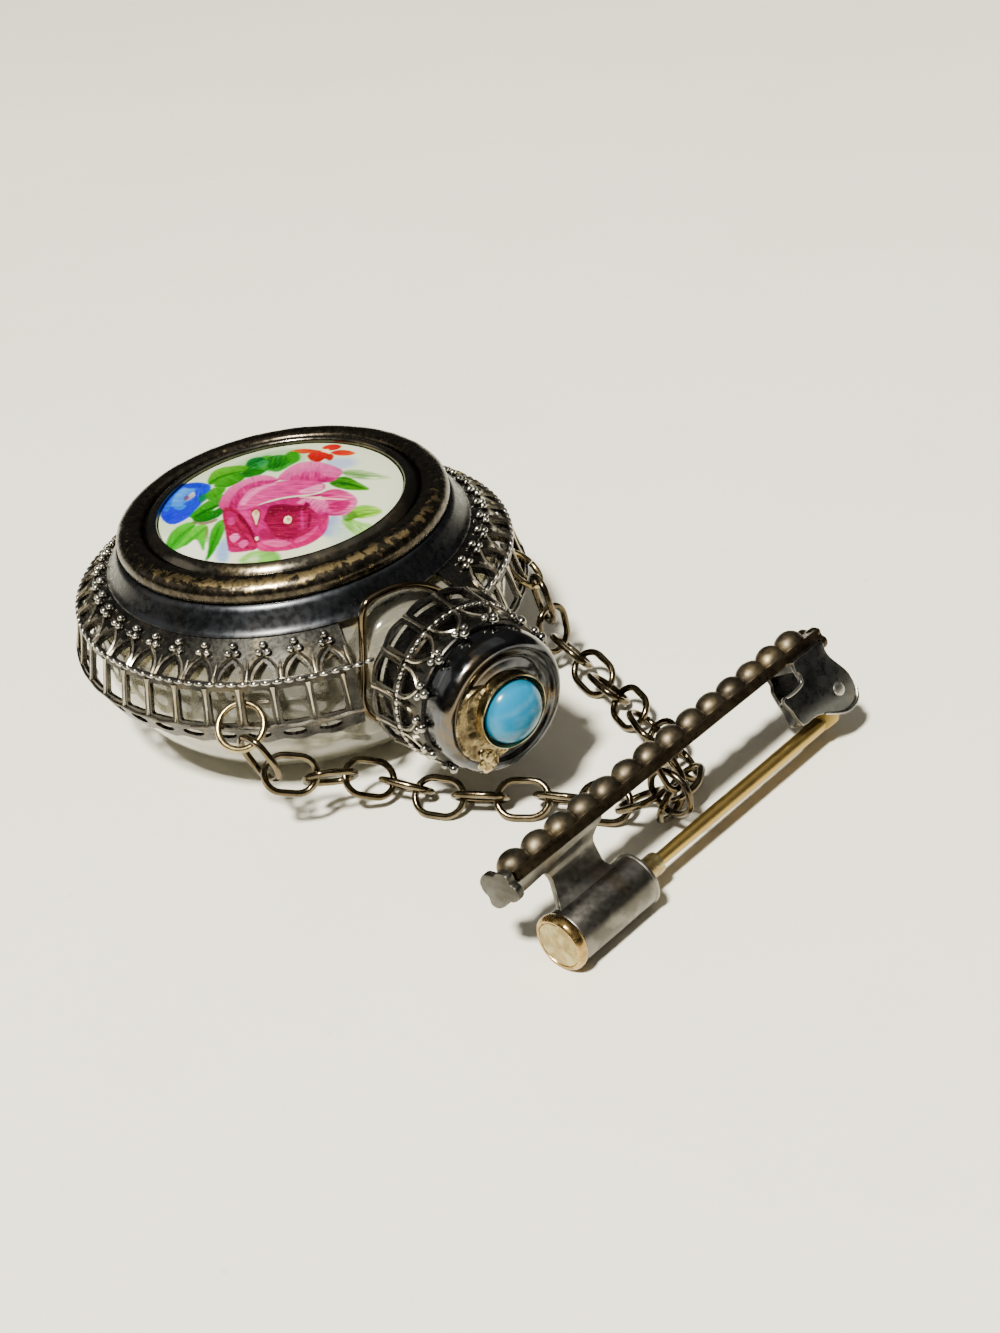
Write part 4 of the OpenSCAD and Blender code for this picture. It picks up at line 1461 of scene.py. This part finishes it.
@dataclass
class Cap:
    """The stopper: polished drum in a pierced crown, with a turquoise in a gilt cup."""

    bays: int = 14
    phase: float = 10.0
    aside: float = 0.35
    stone_radius: float = 2.5
    back_foot: Point2 = (6.5, 19.8)
    back_head: Point2 = (6.25, 22.6)
    back_taper: float = 0.09
    front_head: Point2 = (5.95, 25.0)
    apron_start: float = -152.0
    apron_sweep: float = 150.0
    apron_root: float = 3.0
    drum: Sequence[Point2] = (
        (4.35, 19.9), (5.3, 19.9), (5.45, 20.3), (5.56, 21.2), (5.6, 22.5), (5.6, 26.2), (5.58, 26.7),
        (5.48, 27.15), (5.32, 27.5), (5.1, 27.74), (4.85, 27.85), (4.6, 27.83), (4.38, 27.7),
        (4.18, 27.58), (3.95, 27.54), (3.7, 27.6), (3.4, 27.75), (3.1, 27.8), (0, 27.8), (0, 26),
        (4.35, 26))
    cup: Sequence[Point2] = (
        (0, 27.3), (3.12, 27.3), (3.04, 27.7), (2.99, 28.2), (2.97, 28.58), (2.93, 28.72), (2.86, 28.75),
        (2.8, 28.68), (2.66, 28.5), (2.54, 28.35), (2.54, 28.0), (0, 28.0))
    apron: Sequence[Point2] = ((3.0, 27.3), (4.9, 27.3), (4.95, 27.7), (4.7, 27.86), (4.35, 27.84),
                               (4.0, 27.8), (3.6, 27.86), (3.2, 28.0), (3.0, 28.0))

    @property
    def place(self) -> Matrix:
        """The cap's own place, a little to the side of the neck's axis."""
        return NECK @ Matrix.Translation((0, self.aside, 0))

    def build(self) -> None:
        """Builds the drum, the crown, the cup, the stone and the solder."""
        drum = Form()
        drum.turn(self.drum, 128)
        drum.turn([self.drum[-1], self.drum[0]], 128)
        drum.piece("cap_drum", self.place, Finish.DRUM, "silver", "stopper", ["cap"])
        self.crown()
        cup = Form()
        cup.turn(self.cup, 96)
        cup.shape(lambda co: co + Vector((co.x, co.y, 0)).normalized() * 0.08 * noise.noise(co * 0.7)
                  * (1.0 if co.z > 27.4 and co.xy.length > 2.7 else 0.0))
        cup.piece("stone_setting", self.place, Finish.GILT, "gilt", "stopper", ["stone_cup"])
        apron = Form()
        apron.turn(self.apron, 60, self.apron_start, self.apron_sweep, loop=True)

        def crescent(co: Vector) -> Vector:
            """Draws the apron in towards its ends and dents it.

            Args:
                co: A point of the apron.
            Returns:
                Where it goes.
            """
            share = (math.degrees(math.atan2(co.y, co.x)) - self.apron_start) / self.apron_sweep
            reach = max(0.0, math.sin(math.pi * min(max(share, 0.0), 1.0))) ** 0.6
            r = co.xy.length
            scale = (self.apron_root + (r - self.apron_root) * reach) / r
            lift = 0.1 * noise.noise(co * 1.3) + 0.05 * noise.noise(co * 4)
            return Vector((co.x * scale, co.y * scale, co.z + (lift if co.z > 27.5 else 0.0)))

        apron.shape(crescent)
        apron.piece("gilt_apron", self.place, Finish.WORN_GILT, "gilt", "stopper")
        solder = Form()
        for x, y, z, r in ((3.2, -2.2, 27.9, 0.55), (3.7, -1.9, 27.85, 0.5), (4.1, -2.5, 27.8, 0.5),
                           (2.8, -2.7, 27.85, 0.45), (3.6, -2.9, 27.8, 0.5)):
            solder.ball(Vector((x, y, z)), r, 3, Vector((1, 1, 0.35)))
        solder.shape(lambda co: co + Vector((1, 1, 0.6)) * 0.1 * noise.noise(co * 2.6))
        solder.piece("solder_seam", self.place, Finish.BRASS, "gilt", "stopper")
        self.stone()

    def stone(self) -> None:
        """Domed turquoise."""
        form = Form()
        form.turn([(0, 28.1), (2.4, 28.1), (2.48, 28.2), (2.5, 28.4)]
                  + arc(0, 28.5, self.stone_radius, 1.55, 0, 90, 18), 80)
        made = form.piece("turquoise_stone", self.place, Finish.TURQUOISE, "turquoise", "stopper",
                          ["turquoise"])
        inverse = self.place.inverted()
        rim = [min(1.0, (inverse @ v.co).xy.length / self.stone_radius) for v in made.data.vertices]
        made.data.attributes.new("rim", "FLOAT", "POINT").data.foreach_set("value", rim)

    def crown(self) -> None:
        """Pierced crown: windows at the back, arches in front and a row of trefoils."""
        pitch = 360 / self.bays
        opening = ((-0.98, 0.4), (0.98, 0.4), (0.98, 2.3), (-0.98, 2.3))
        windows = Tier(self.back_foot, self.back_head, pitch, self.phase, self.bays, opening, 0.3, cuts=7)
        arch = ((-0.92, 0.3), (0.92, 0.3), (0.84, 0.75), (0.5, 1.3), (0, 1.75), (-0.5, 1.3), (-0.84, 0.75))
        arches = Tier(self.back_head, self.front_head, pitch, self.phase, self.bays, arch, 0.3, cuts=7)
        sheet = windows.sheet()
        sheet.add(arches.sheet())
        sheet.piece("crown_sheet", self.place, Finish.SHEET_SILVER, "silver", "stopper", ["cap"])
        side = smooth_path(((-1.15, 0.15), (-1.08, 0.75), (-0.68, 1.42), (0, 2.0)), 3)
        ridge = [*side, *[(-x, y) for x, y in reversed(side[:-1])]]
        half = math.radians(pitch / 2)

        def trim(form: Form) -> None:
            """One bay's ridge and rib, which has a row of height and radius for each section.

            Args:
                form: Takes them.
            """
            form.wire([arches.at(x, y, 0.06) for x, y in ridge], 0.13, 6,
                      up=[arches.normal(x, y) for x, y in ridge])
            rib = ((0.1, 0.26), (0.6, 0.14), (1.4, 0.12), (2.2, 0.16), (2.6, 0.26))
            form.wire([windows.at(half * (self.back_foot[0] - self.back_taper * y), y, 0.03) for y, _ in rib],
                      [r for _, r in rib], 8, up=windows.normal(half * 6.4, 1), flat=0.8)

        arches.along_bays(trim).piece("crown_ridges", self.place, Finish.RIDGE, "silver", "stopper", ["cap"])

        def beads(form: Form) -> None:
            """One trefoil at the crown's front, and its share of the grains between the tiers.

            Args:
                form: Takes them.
            """
            for x, y, r in ((-0.42, 2.25, 0.33), (0.42, 2.25, 0.33), (0, 2.85, 0.38)):
                form.ball(arches.at(x, y, r * 0.5), r)
            for k in range(4):
                turn = self.phase + (k - 1.5) * pitch / 4
                form.ball(turned_by(turn) @ Vector((6.27, 0, 22.6)), 0.24, 2, Vector((0.75, 1.4, 0.75)),
                          turned_by(turn))

        arches.along_bays(beads).piece("crown_trefoils", self.place, Finish.GRAIN_SILVER, "silver", "stopper",
                                       ["cap"])
        border = Form()
        n = 144
        path = []
        for i in range(n):
            turn = 360 * i / n
            wave = 0.13 * math.cos(math.radians(self.bays * (turn - self.phase)))
            path.append(turned_by(turn) @ Vector((6.4, 0, 19.84 - wave)))
        border.wire(path, 0.22, 6, closed=True)
        border.turn([(5.45, 20.1), (5.8, 20.1), (5.8, 24.6), (5.92, 24.8), (5.94, 25.0), (5.86, 25.12),
                     (5.5, 25.15)], 96, loop=True)
        border.piece("crown_border", self.place, Finish.DARK_SILVER, "silver", "stopper", ["cap"])


@dataclass
class Chain:
    """Jump rings and the two strands of cable chain, whose links lie where their CAD nodes do."""

    nodes: dict[str, bpy.types.Object]
    wire: float = 0.56
    length: float = 4.65
    width: float = 3.45
    ring_radius: float = 1.84
    ring_wire: float = 0.54
    bar_ring: tuple[float, float, float] = (26.12, -28.84, 4.06)
    # A jump ring's node, its bays from the neck, radius, height, tip and seam.
    rings: Sequence[tuple[str, float, float, float, float, float]] = (
        ("jump_ring_left", -5.5, 19.2, 9.18, 40, -62), ("jump_ring_right", 5.5, 18.8, 9.8, 45, 70))

    def build(self) -> None:
        """Builds the rings and every link."""
        for node, bays, r, z, tip, seam in self.rings:
            place = (FLASK @ turned_by(NECK_TURN + bays * Gallery().pitch) @ Matrix.Translation((r, 0, z))
                     @ turned_by(tip, "Y"))
            self.ring(f"{node}_wire", place, node, seam)
        place = FLASK @ Matrix.Translation(self.bar_ring) @ turned_by(BAR_TURN) @ turned_by(90, "Y")
        # The ring under the bar takes the darker brass: painted shade from the bar above it.
        self.ring("bar_ring_wire", place, "bar_ring", 120, Finish.DARK_BRASS)
        for side in ("left", "right"):
            names = sorted(name for name in self.nodes if name.startswith(f"{side}_link_"))
            found = [self.axes(self.nodes[name]) for name in names]
            heading = [after[0] - before[0] for before, after in zip(found, found[1:])]
            for i, (name, (middle, along, across)) in enumerate(zip(names, found)):
                along = along if along.dot(heading[min(i, len(heading) - 1)]) > 0 else -along
                across = across if across.dot(UP.cross(along)) > 0 else -across
                place = Matrix((along, across, along.cross(across))).transposed().to_4x4()
                place.translation = middle
                self.link(name, place @ Matrix.Scale(MM, 4), i + 1)

    def axes(self, node: bpy.types.Object) -> tuple[Vector, Vector, Vector]:
        """How a CAD link lies, from the moments of its faces.

        Args:
            node: The link's CAD node.
        Returns:
            Its middle in the frame's metres, and its long and its middle axis.
        """
        area = np.array([face.area for face in node.data.polygons])
        at = np.array([face.center for face in node.data.polygons])
        middle = area @ at / area.sum()
        spread = (at - middle).T @ ((at - middle) * area[:, None])
        axes = np.linalg.eigh(spread)[1]
        return Vector(middle), Vector(axes[:, 2]), Vector(axes[:, 1])

    def ring(self, name: str, place: Matrix, node: str, seam: float, finish: Finish = Finish.BRASS) -> None:
        """A jump ring of round wire, sawn through at its seam.

        Args:
            name: The piece's name.
            place: Where it hangs.
            node: The CAD node that it stands for.
            seam: Turn of the seam in degrees.
            finish: Its finish.
        """
        form = Form()
        start = seam + 1.2
        path = [Vector((self.ring_radius * math.cos(a), self.ring_radius * math.sin(a), 0))
                for a in (math.radians(start + 357.6 * i / 56) for i in range(57))]
        form.wire(path, self.ring_wire / 2, 12)
        form.piece(name, place, finish, "brass", replaces=[node])

    def link(self, node: str, place: Matrix, number: int) -> None:
        """One link, slightly uneven, with its solder joint.

        Args:
            node: The CAD node that it stands for.
            place: Where it lies.
            number: Its number in the strand.
        """
        end = (self.width - self.wire) / 2
        middle = (self.length - self.width) / 2
        path = []
        for side in (1, -1):
            path += [Vector((side * (middle + x), side * y, 0))
                     for x, y in arc(0, 0, end, end, -90, 90, 13)]
        radii = []
        for p in path:
            joint = math.exp(-((p.x + 0.4) ** 2 + (p.y - end) ** 2) / 0.18)
            radii.append(self.wire / 2 * (1 + 0.1 * joint + 0.03 * noise.noise(p + Vector((number, 0, 0)))))
        form = Form()
        form.wire(path, radii, 10, closed=True)
        form.piece(f"{node}_wire", place, Finish.CHAIN, "chain", replaces=[node])


@dataclass
class Brooch:
    """The beaded bar with its tube clasp, hinge and pin."""

    beads: int = 14
    bead_pitch: float = 2.426
    bead_radius: float = 1.14
    bead_height: float = 1.04
    bead_shift: float = 0.45
    bead_stretch: float = 1.16
    half: float = 17.3
    pin_depth: float = 5.33
    rivet: Point2 = (15.95, -3.55)
    lobes: Sequence[Point2] = ((1.85, 1.15), (1.0, 1.6), (0.1, 1.35), (-0.6, 1.5), (-1.35, 1.15), (-1.3, 0.5),
                               (-1.62, 0.1), (-1.45, -0.55), (-0.8, -0.85), (0.0, -0.75), (0.7, -1.05),
                               (1.5, -1.1), (2.0, -0.7), (1.85, -0.1), (2.05, 0.4))
    leg: Sequence[Point2] = ((-17.4, 0.4), (-17.4, -0.4), (-17.2, -0.7), (-16, -0.7), (-14.75, -0.62),
                             (-14.35, -0.9), (-14.3, -1.5), (-14.45, -2), (-14.65, -2.6), (-14.9, -3.05),
                             (-15.2, -4.2), (-8.9, -4.2), (-9.3, -3.6), (-9.8, -2.75), (-9.8, -2.3),
                             (-9.75, -1.4), (-9.6, -0.8), (-9.1, -0.2), (-8.6, 0.1), (-8.6, 0.4))
    ear: Sequence[Point2] = (
        (13.15, 0.3), (15, 0.3), (16.8, 0.3), (16.75, -0.5), (16.85, -1.2), (17.4, -2.25), (17.77, -3.15),
        (17.7, -4.35), (17.3, -5.05), (16.5, -5.35), (15.3, -5.25), (13.6, -4.4), (12.3, -4.1),
        (11.1, -4.05), (10.8, -2.6), (10.5, -1.75), (10.85, -1.4), (11.75, -1.55), (12.85, -1.4),
        (13.1, -0.95))

    def build(self) -> None:
        """Builds the bar, the clasp, the hinge and the pin."""
        self.strip()
        self.clasp()
        self.hinge()
        self.pin()

    def strip(self) -> None:
        """Strip with its half-ball beads, end plates and the loop for the chain."""
        bar = Form()
        bar.plate([(-1.27, 0.36), (-1.2, 0.28), (1.2, 0.28), (1.27, 0.36), (1.27, 0.95), (1.15, 1.06),
                   (-1.15, 1.06), (-1.27, 0.95)], -self.half, self.half)
        strip = Form()
        strip.add(bar, turned_by(90))
        strip.cut(0, [-17 + 0.5 * i for i in range(69)])
        strip.shape(lambda co: co + Vector((0, 1, 1)) * 0.03 * noise.noise(co * 0.6))
        strip.wire([Vector((x * 0.5, -1.24 + 0.015 * noise.noise(Vector((x * 0.35, 0, 0))), 0.31))
                    for x in range(-34, 35)], 0.055, 6)
        strip.piece("bar_strip", BAR, Finish.BAR_SILVER, "bar_silver", replaces=["bar_frame"])
        beads = Form()
        r = self.bead_radius
        for i in range(self.beads):
            part = Form()
            part.turn([(0, 0.6), (r, 0.6)] + arc(0, self.bead_height, r, r, 0, 90, 12), 36)
            spot = Vector(((i - (self.beads - 1) / 2) * self.bead_pitch - self.bead_shift, 0, 0))
            part.shape(lambda co: co + Vector((1, 1, 1)) * 0.05 * noise.noise((co + spot) * 0.9))
            beads.add(part, Matrix.Translation(spot) @ Matrix.Diagonal((self.bead_stretch, 1.0, 1.0, 1.0)))
        beads.piece("bar_beads", BAR, Finish.BEAD_SILVER, "bar_silver", replaces=["bar_frame"])
        for name, x, size, finish in (("left", -17.85, 1.0, Finish.END_SILVER),
                                      ("right", 17.6, 0.8, Finish.BAR_SILVER)):
            end = Form()
            end.plate([(size * a, size * b) for a, b in smooth_path(self.lobes, 4, True)], -0.33, 0.33)
            end.round_edges(0.12, 50)
            end.piece(f"bar_end_{name}", BAR @ Matrix.Translation((x, 0, 0)) @ turned_by(90), finish,
                      "bar_silver", replaces=["bar_frame"])
        loop = Form()
        path = [Vector((0.8, 0, 0.1)), Vector((0.8, 0, -0.6))]
        path += [Vector((x, 0, z)) for x, z in arc(0, -1.35, 0.8, 0.8, 0, -180, 12)]
        path += [Vector((-0.8, 0, -0.6)), Vector((-0.8, 0, 0.1))]
        path = [Vector((0.8, 0, 0.5)), *path, Vector((-0.8, 0, 0.5))]
        loop.wire(path, 0.26, 10, up=Vector((0, 1, 0)))
        loop.piece("chain_loop", BAR @ Matrix.Translation((-0.7, 0, 0)), Finish.BRONZE, "bar_silver",
                   replaces=["bar_frame"])

    def clasp(self) -> None:
        """Leg rolled into the barrel of the tube clasp, and the slider in it."""
        leg = Form()
        leg.plate(smooth_path(self.leg, 2), -0.25, 0.25)
        leg.shape(lambda co: co + Vector((0, -0.75 * max(0.0, min(1.0, (co.z + 0.9) / 0.9)), 0)))
        leg.cut(2, [-0.6, -1.2, -1.8, -2.3, -2.8, -3.2, -3.6, -3.9])
        leg.round_edges(0.08, 50)

        def roll(co: Vector) -> Vector:
            """Bends the leg's foot over the barrel's side."""
            t = max(0.0, (-co.z - 2.4) / 1.8)
            return Vector((co.x, co.y - 1.2 * t * t, co.z))

        leg.shape(roll)
        leg.piece("clasp_leg", BAR, Finish.BARREL, "bar_silver", replaces=["bar_frame"])
        along = Matrix.Translation((0, 0, -self.pin_depth)) @ turned_by(90, "Y")
        barrel = Form()
        barrel.turn([(1.72, -15.55), (2.0, -15.55), (2.05, -15.45), (2.05, -8.2), (2.12, -8.12),
                     (2.12, -7.95), (2.02, -7.85), (1.72, -7.85)], 72, loop=True)
        barrel.piece("clasp_barrel", BAR @ along, Finish.BARREL, "bar_silver", replaces=["bar_frame"])
        slider = Form()
        slider.turn([(0, -8.7), (1.6, -8.6), (1.66, -8.7), (1.66, -15.6), (0, -15.6)], 48)
        slider.turn([(0, -5.62), (0.7, -5.62), (0.82, -5.7), (0.86, -5.9), (0.86, -8.65), (0, -8.65)], 40)
        slider.piece("clasp_sleeve", BAR @ along, Finish.BUTTON, "clasp", "sleeve", ["clasp_slider"])
        button = Form()
        button.turn([(0, -15.62), (1.78, -15.62), (1.8, -16.3), (1.72, -16.4), (1.4, -16.45),
                     (0.8, -16.5), (0, -16.53)], 72)
        button.shape(lambda co: co + Vector((0, 0, 0.09)) * noise.noise(co * 0.9 + Vector((3, 1, 0))))
        button.piece("clasp_button", BAR @ along, Finish.BUTTON, "clasp", "sleeve", ["clasp_slider"])
        rim = Form()
        rim.turn([(1.72, -15.58), (2.0, -15.58), (2.12, -15.68), (2.18, -15.85), (2.18, -16.1), (2.1, -16.32),
                  (1.94, -16.44), (1.8, -16.42), (1.72, -16.3)], 72, loop=True)
        rim.shape(lambda co: co + Vector((0.05, 0.05, 0.05)) * noise.noise(co * 0.9))
        rim.piece("button_rim", BAR @ along, Finish.BUTTON_RIM, "clasp", "sleeve", ["clasp_slider"])

    def hinge(self) -> None:
        """Box hinge with two ears, and its rivet."""
        box = Form()
        far = (*self.ear[:11], (13.2, -4.2), (12.9, -3.2), (12.8, -1.9), *self.ear[18:])
        for points, low, high in ((self.ear, -1.8, -1.35), (far, 1.35, 1.8)):
            part = Form()
            part.plate(smooth_path(points, 2, True), low, high)
            part.round_edges(0.13, 50)
            box.add(part)
        for low, high, width in (((10.85, -1.72, -4.02), (11.75, -0.4, -1.85), 0.38),
                                 ((13.2, -1.7, -0.45), (16.75, 1.7, 0.32), 0.14)):
            part = Form()
            part.box(low, high)
            part.round_edges(width, segments=4)
            box.add(part)
        lips = (((10.9, -1.5), *self.ear[17:], (13.15, -0.5)), self.ear[7:12])
        for lip in lips:
            path = [Vector((x, -1.78, z)) for x, z in smooth_path(lip, 3)]
            radii = [0.17 * math.sin(math.pi * (i + 1) / (len(path) + 1)) ** 0.4 for i in range(len(path))]
            box.wire(path, radii, 10, up=Vector((0, 1, 0)))
        box.piece("hinge_box", BAR, Finish.HINGE_SILVER, "bar_silver", replaces=["bar_frame"])
        rivet = Form()
        across = BAR @ Matrix.Translation((self.rivet[0], 0, self.rivet[1])) @ turned_by(90, "X")
        side = [(0, -2.0), (0.4, -2.0), (0.52, -1.94), (0.56, -1.83), (0.45, -1.8)]
        rivet.turn([*side, *[(r, -z) for r, z in reversed(side)]], 36)
        rivet.piece("hinge_rivet", across, Finish.RIVET, "rivet", replaces=["rivet"])

    def pin(self) -> None:
        """Tapered pin with its heel, on the rivet."""
        form = Form()
        rod = Form()
        rod.turn([(0, -7.72), (0.22, -7.65), (0.4, -7.4), (0.46, -7.1), (0.52, -5.4), (0.58, 0), (0.64, 14.3),
                  (0, 14.3)], 32)
        form.add(rod, Matrix.Translation((0, 0, -self.pin_depth)) @ turned_by(90, "Y"))
        heel = Form()
        heel.plate(((14, -4.75), (14, -5.9), (15.6, -5.95), (16.6, -5), (16.9, -3.6), (15.95, -2.5),
                    (14.9, -3.2)), -0.62, 0.62)
        heel.round_edges(0.18, 40)
        form.add(heel)
        form.piece("pin_rod", BAR, Finish.PIN, "pin", "pin", ["pin_stem"])


@dataclass
class Studio:
    """Floor, soft lights and the camera at the photograph's place."""

    eye: tuple[float, float, float] = (3.704, -136.9615, 94.341)
    forward: tuple[float, float, float] = (0.0, 0.8409, -0.5411)
    upward: tuple[float, float, float] = (0.1637, 0.5338, 0.8296)
    lens: float = 55.36
    centre: Vector = field(default_factory=lambda: Vector((0.0, 0.0, 0.005)))
    floor: float = -0.02
    # A lamp's name, its place and size in metres, and its power in watts.
    lamps: Sequence[tuple[str, tuple[float, float, float], float, float]] = (
        ("key", (-0.22, -0.42, 0.85), 0.11, 33.5), ("overhead", (0.25, 0.2, 0.95), 0.9, 0.9),
        ("side", (-0.9, 0.15, 0.5), 0.5, 0.6))
    lamp_colour: Colour = (1.0, 0.96, 0.85)
    room_colour: Colour = (0.98, 0.95, 0.88)
    room_low: float = 0.04
    room_high: float = 0.15

    def build(self) -> None:
        """Builds the floor, the lights and the camera."""
        form = Form()
        bmesh.ops.create_grid(form.bm, x_segments=8, y_segments=8, size=1500)
        floor = bpy.data.objects.new("paper_floor", bpy.data.meshes.new("paper_floor"))
        form.bm.to_mesh(floor.data)
        floor.data.transform(Matrix.Translation((0, 0, self.floor * MM)) @ Matrix.Scale(MM, 4))
        floor.data.materials.append(Finish.PAPER.material())
        bpy.context.scene.collection.objects.link(floor)
        for name, at, size, watts in self.lamps:
            self.light(name, at, size, watts)
        world = bpy.data.worlds.new("room")
        world.use_nodes = True
        tree = world.node_tree
        back = tree.nodes["Background"]
        back.inputs[0].default_value = (*self.room_colour, 1)
        split = tree.nodes.new("ShaderNodeSeparateXYZ")
        tree.links.new(tree.nodes.new("ShaderNodeTexCoord").outputs["Generated"], split.inputs[0])
        fade = tree.nodes.new("ShaderNodeMapRange")
        for index, value in ((1, 0.0), (2, 0.95), (3, self.room_low), (4, self.room_high)):
            fade.inputs[index].default_value = value
        tree.links.new(split.outputs[2], fade.inputs[0])
        tree.links.new(fade.outputs[0], back.inputs[1])
        bpy.context.scene.world = world
        self.camera()

    def light(self, name: str, at: tuple[float, float, float], size: float, watts: float) -> None:
        """A square soft light aimed at the piece.

        Args:
            name: Its name.
            at: Where it stands, in metres.
            size: Its side in metres.
            watts: Its power.
        """
        data = bpy.data.lights.new(name, "AREA")
        data.size, data.energy, data.color = size, watts, self.lamp_colour
        lamp = bpy.data.objects.new(name, data)
        lamp.location = at
        lamp.rotation_euler = (self.centre - Vector(at)).to_track_quat("-Z", "Y").to_euler()
        bpy.context.scene.collection.objects.link(lamp)

    def axes(self) -> Matrix:
        """The camera's own axes.

        Returns:
            Its right, up and backward directions as columns.
        """
        back = -Vector(self.forward).normalized()
        right = Vector(self.upward).cross(back).normalized()
        return Matrix((right, back.cross(right), back)).transposed().to_4x4()

    def camera(self) -> None:
        """The camera where the photograph was taken."""
        data = bpy.data.cameras.new("camera")
        data.lens, data.sensor_width, data.clip_start = self.lens, 36.0, 0.01
        camera = bpy.data.objects.new("camera", data)
        frame = self.axes()
        frame.translation = Vector(self.eye) * MM
        camera.matrix_world = frame
        bpy.context.scene.collection.objects.link(camera)
        bpy.context.scene.camera = camera


def main() -> None:
    """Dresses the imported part."""
    logging.basicConfig(level=logging.INFO, format="%(message)s")
    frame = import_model()
    Studio().build()
    for part in (Flask(), Gallery(), Cap(), Chain(frame["nodes"]), Brooch()):
        part.build()
    plug = frame["nodes"]["stopper_plug"]
    plug.data.materials.clear()
    plug.data.materials.append(Finish.PLUG.material())


if __name__ == "__main__":
    main()
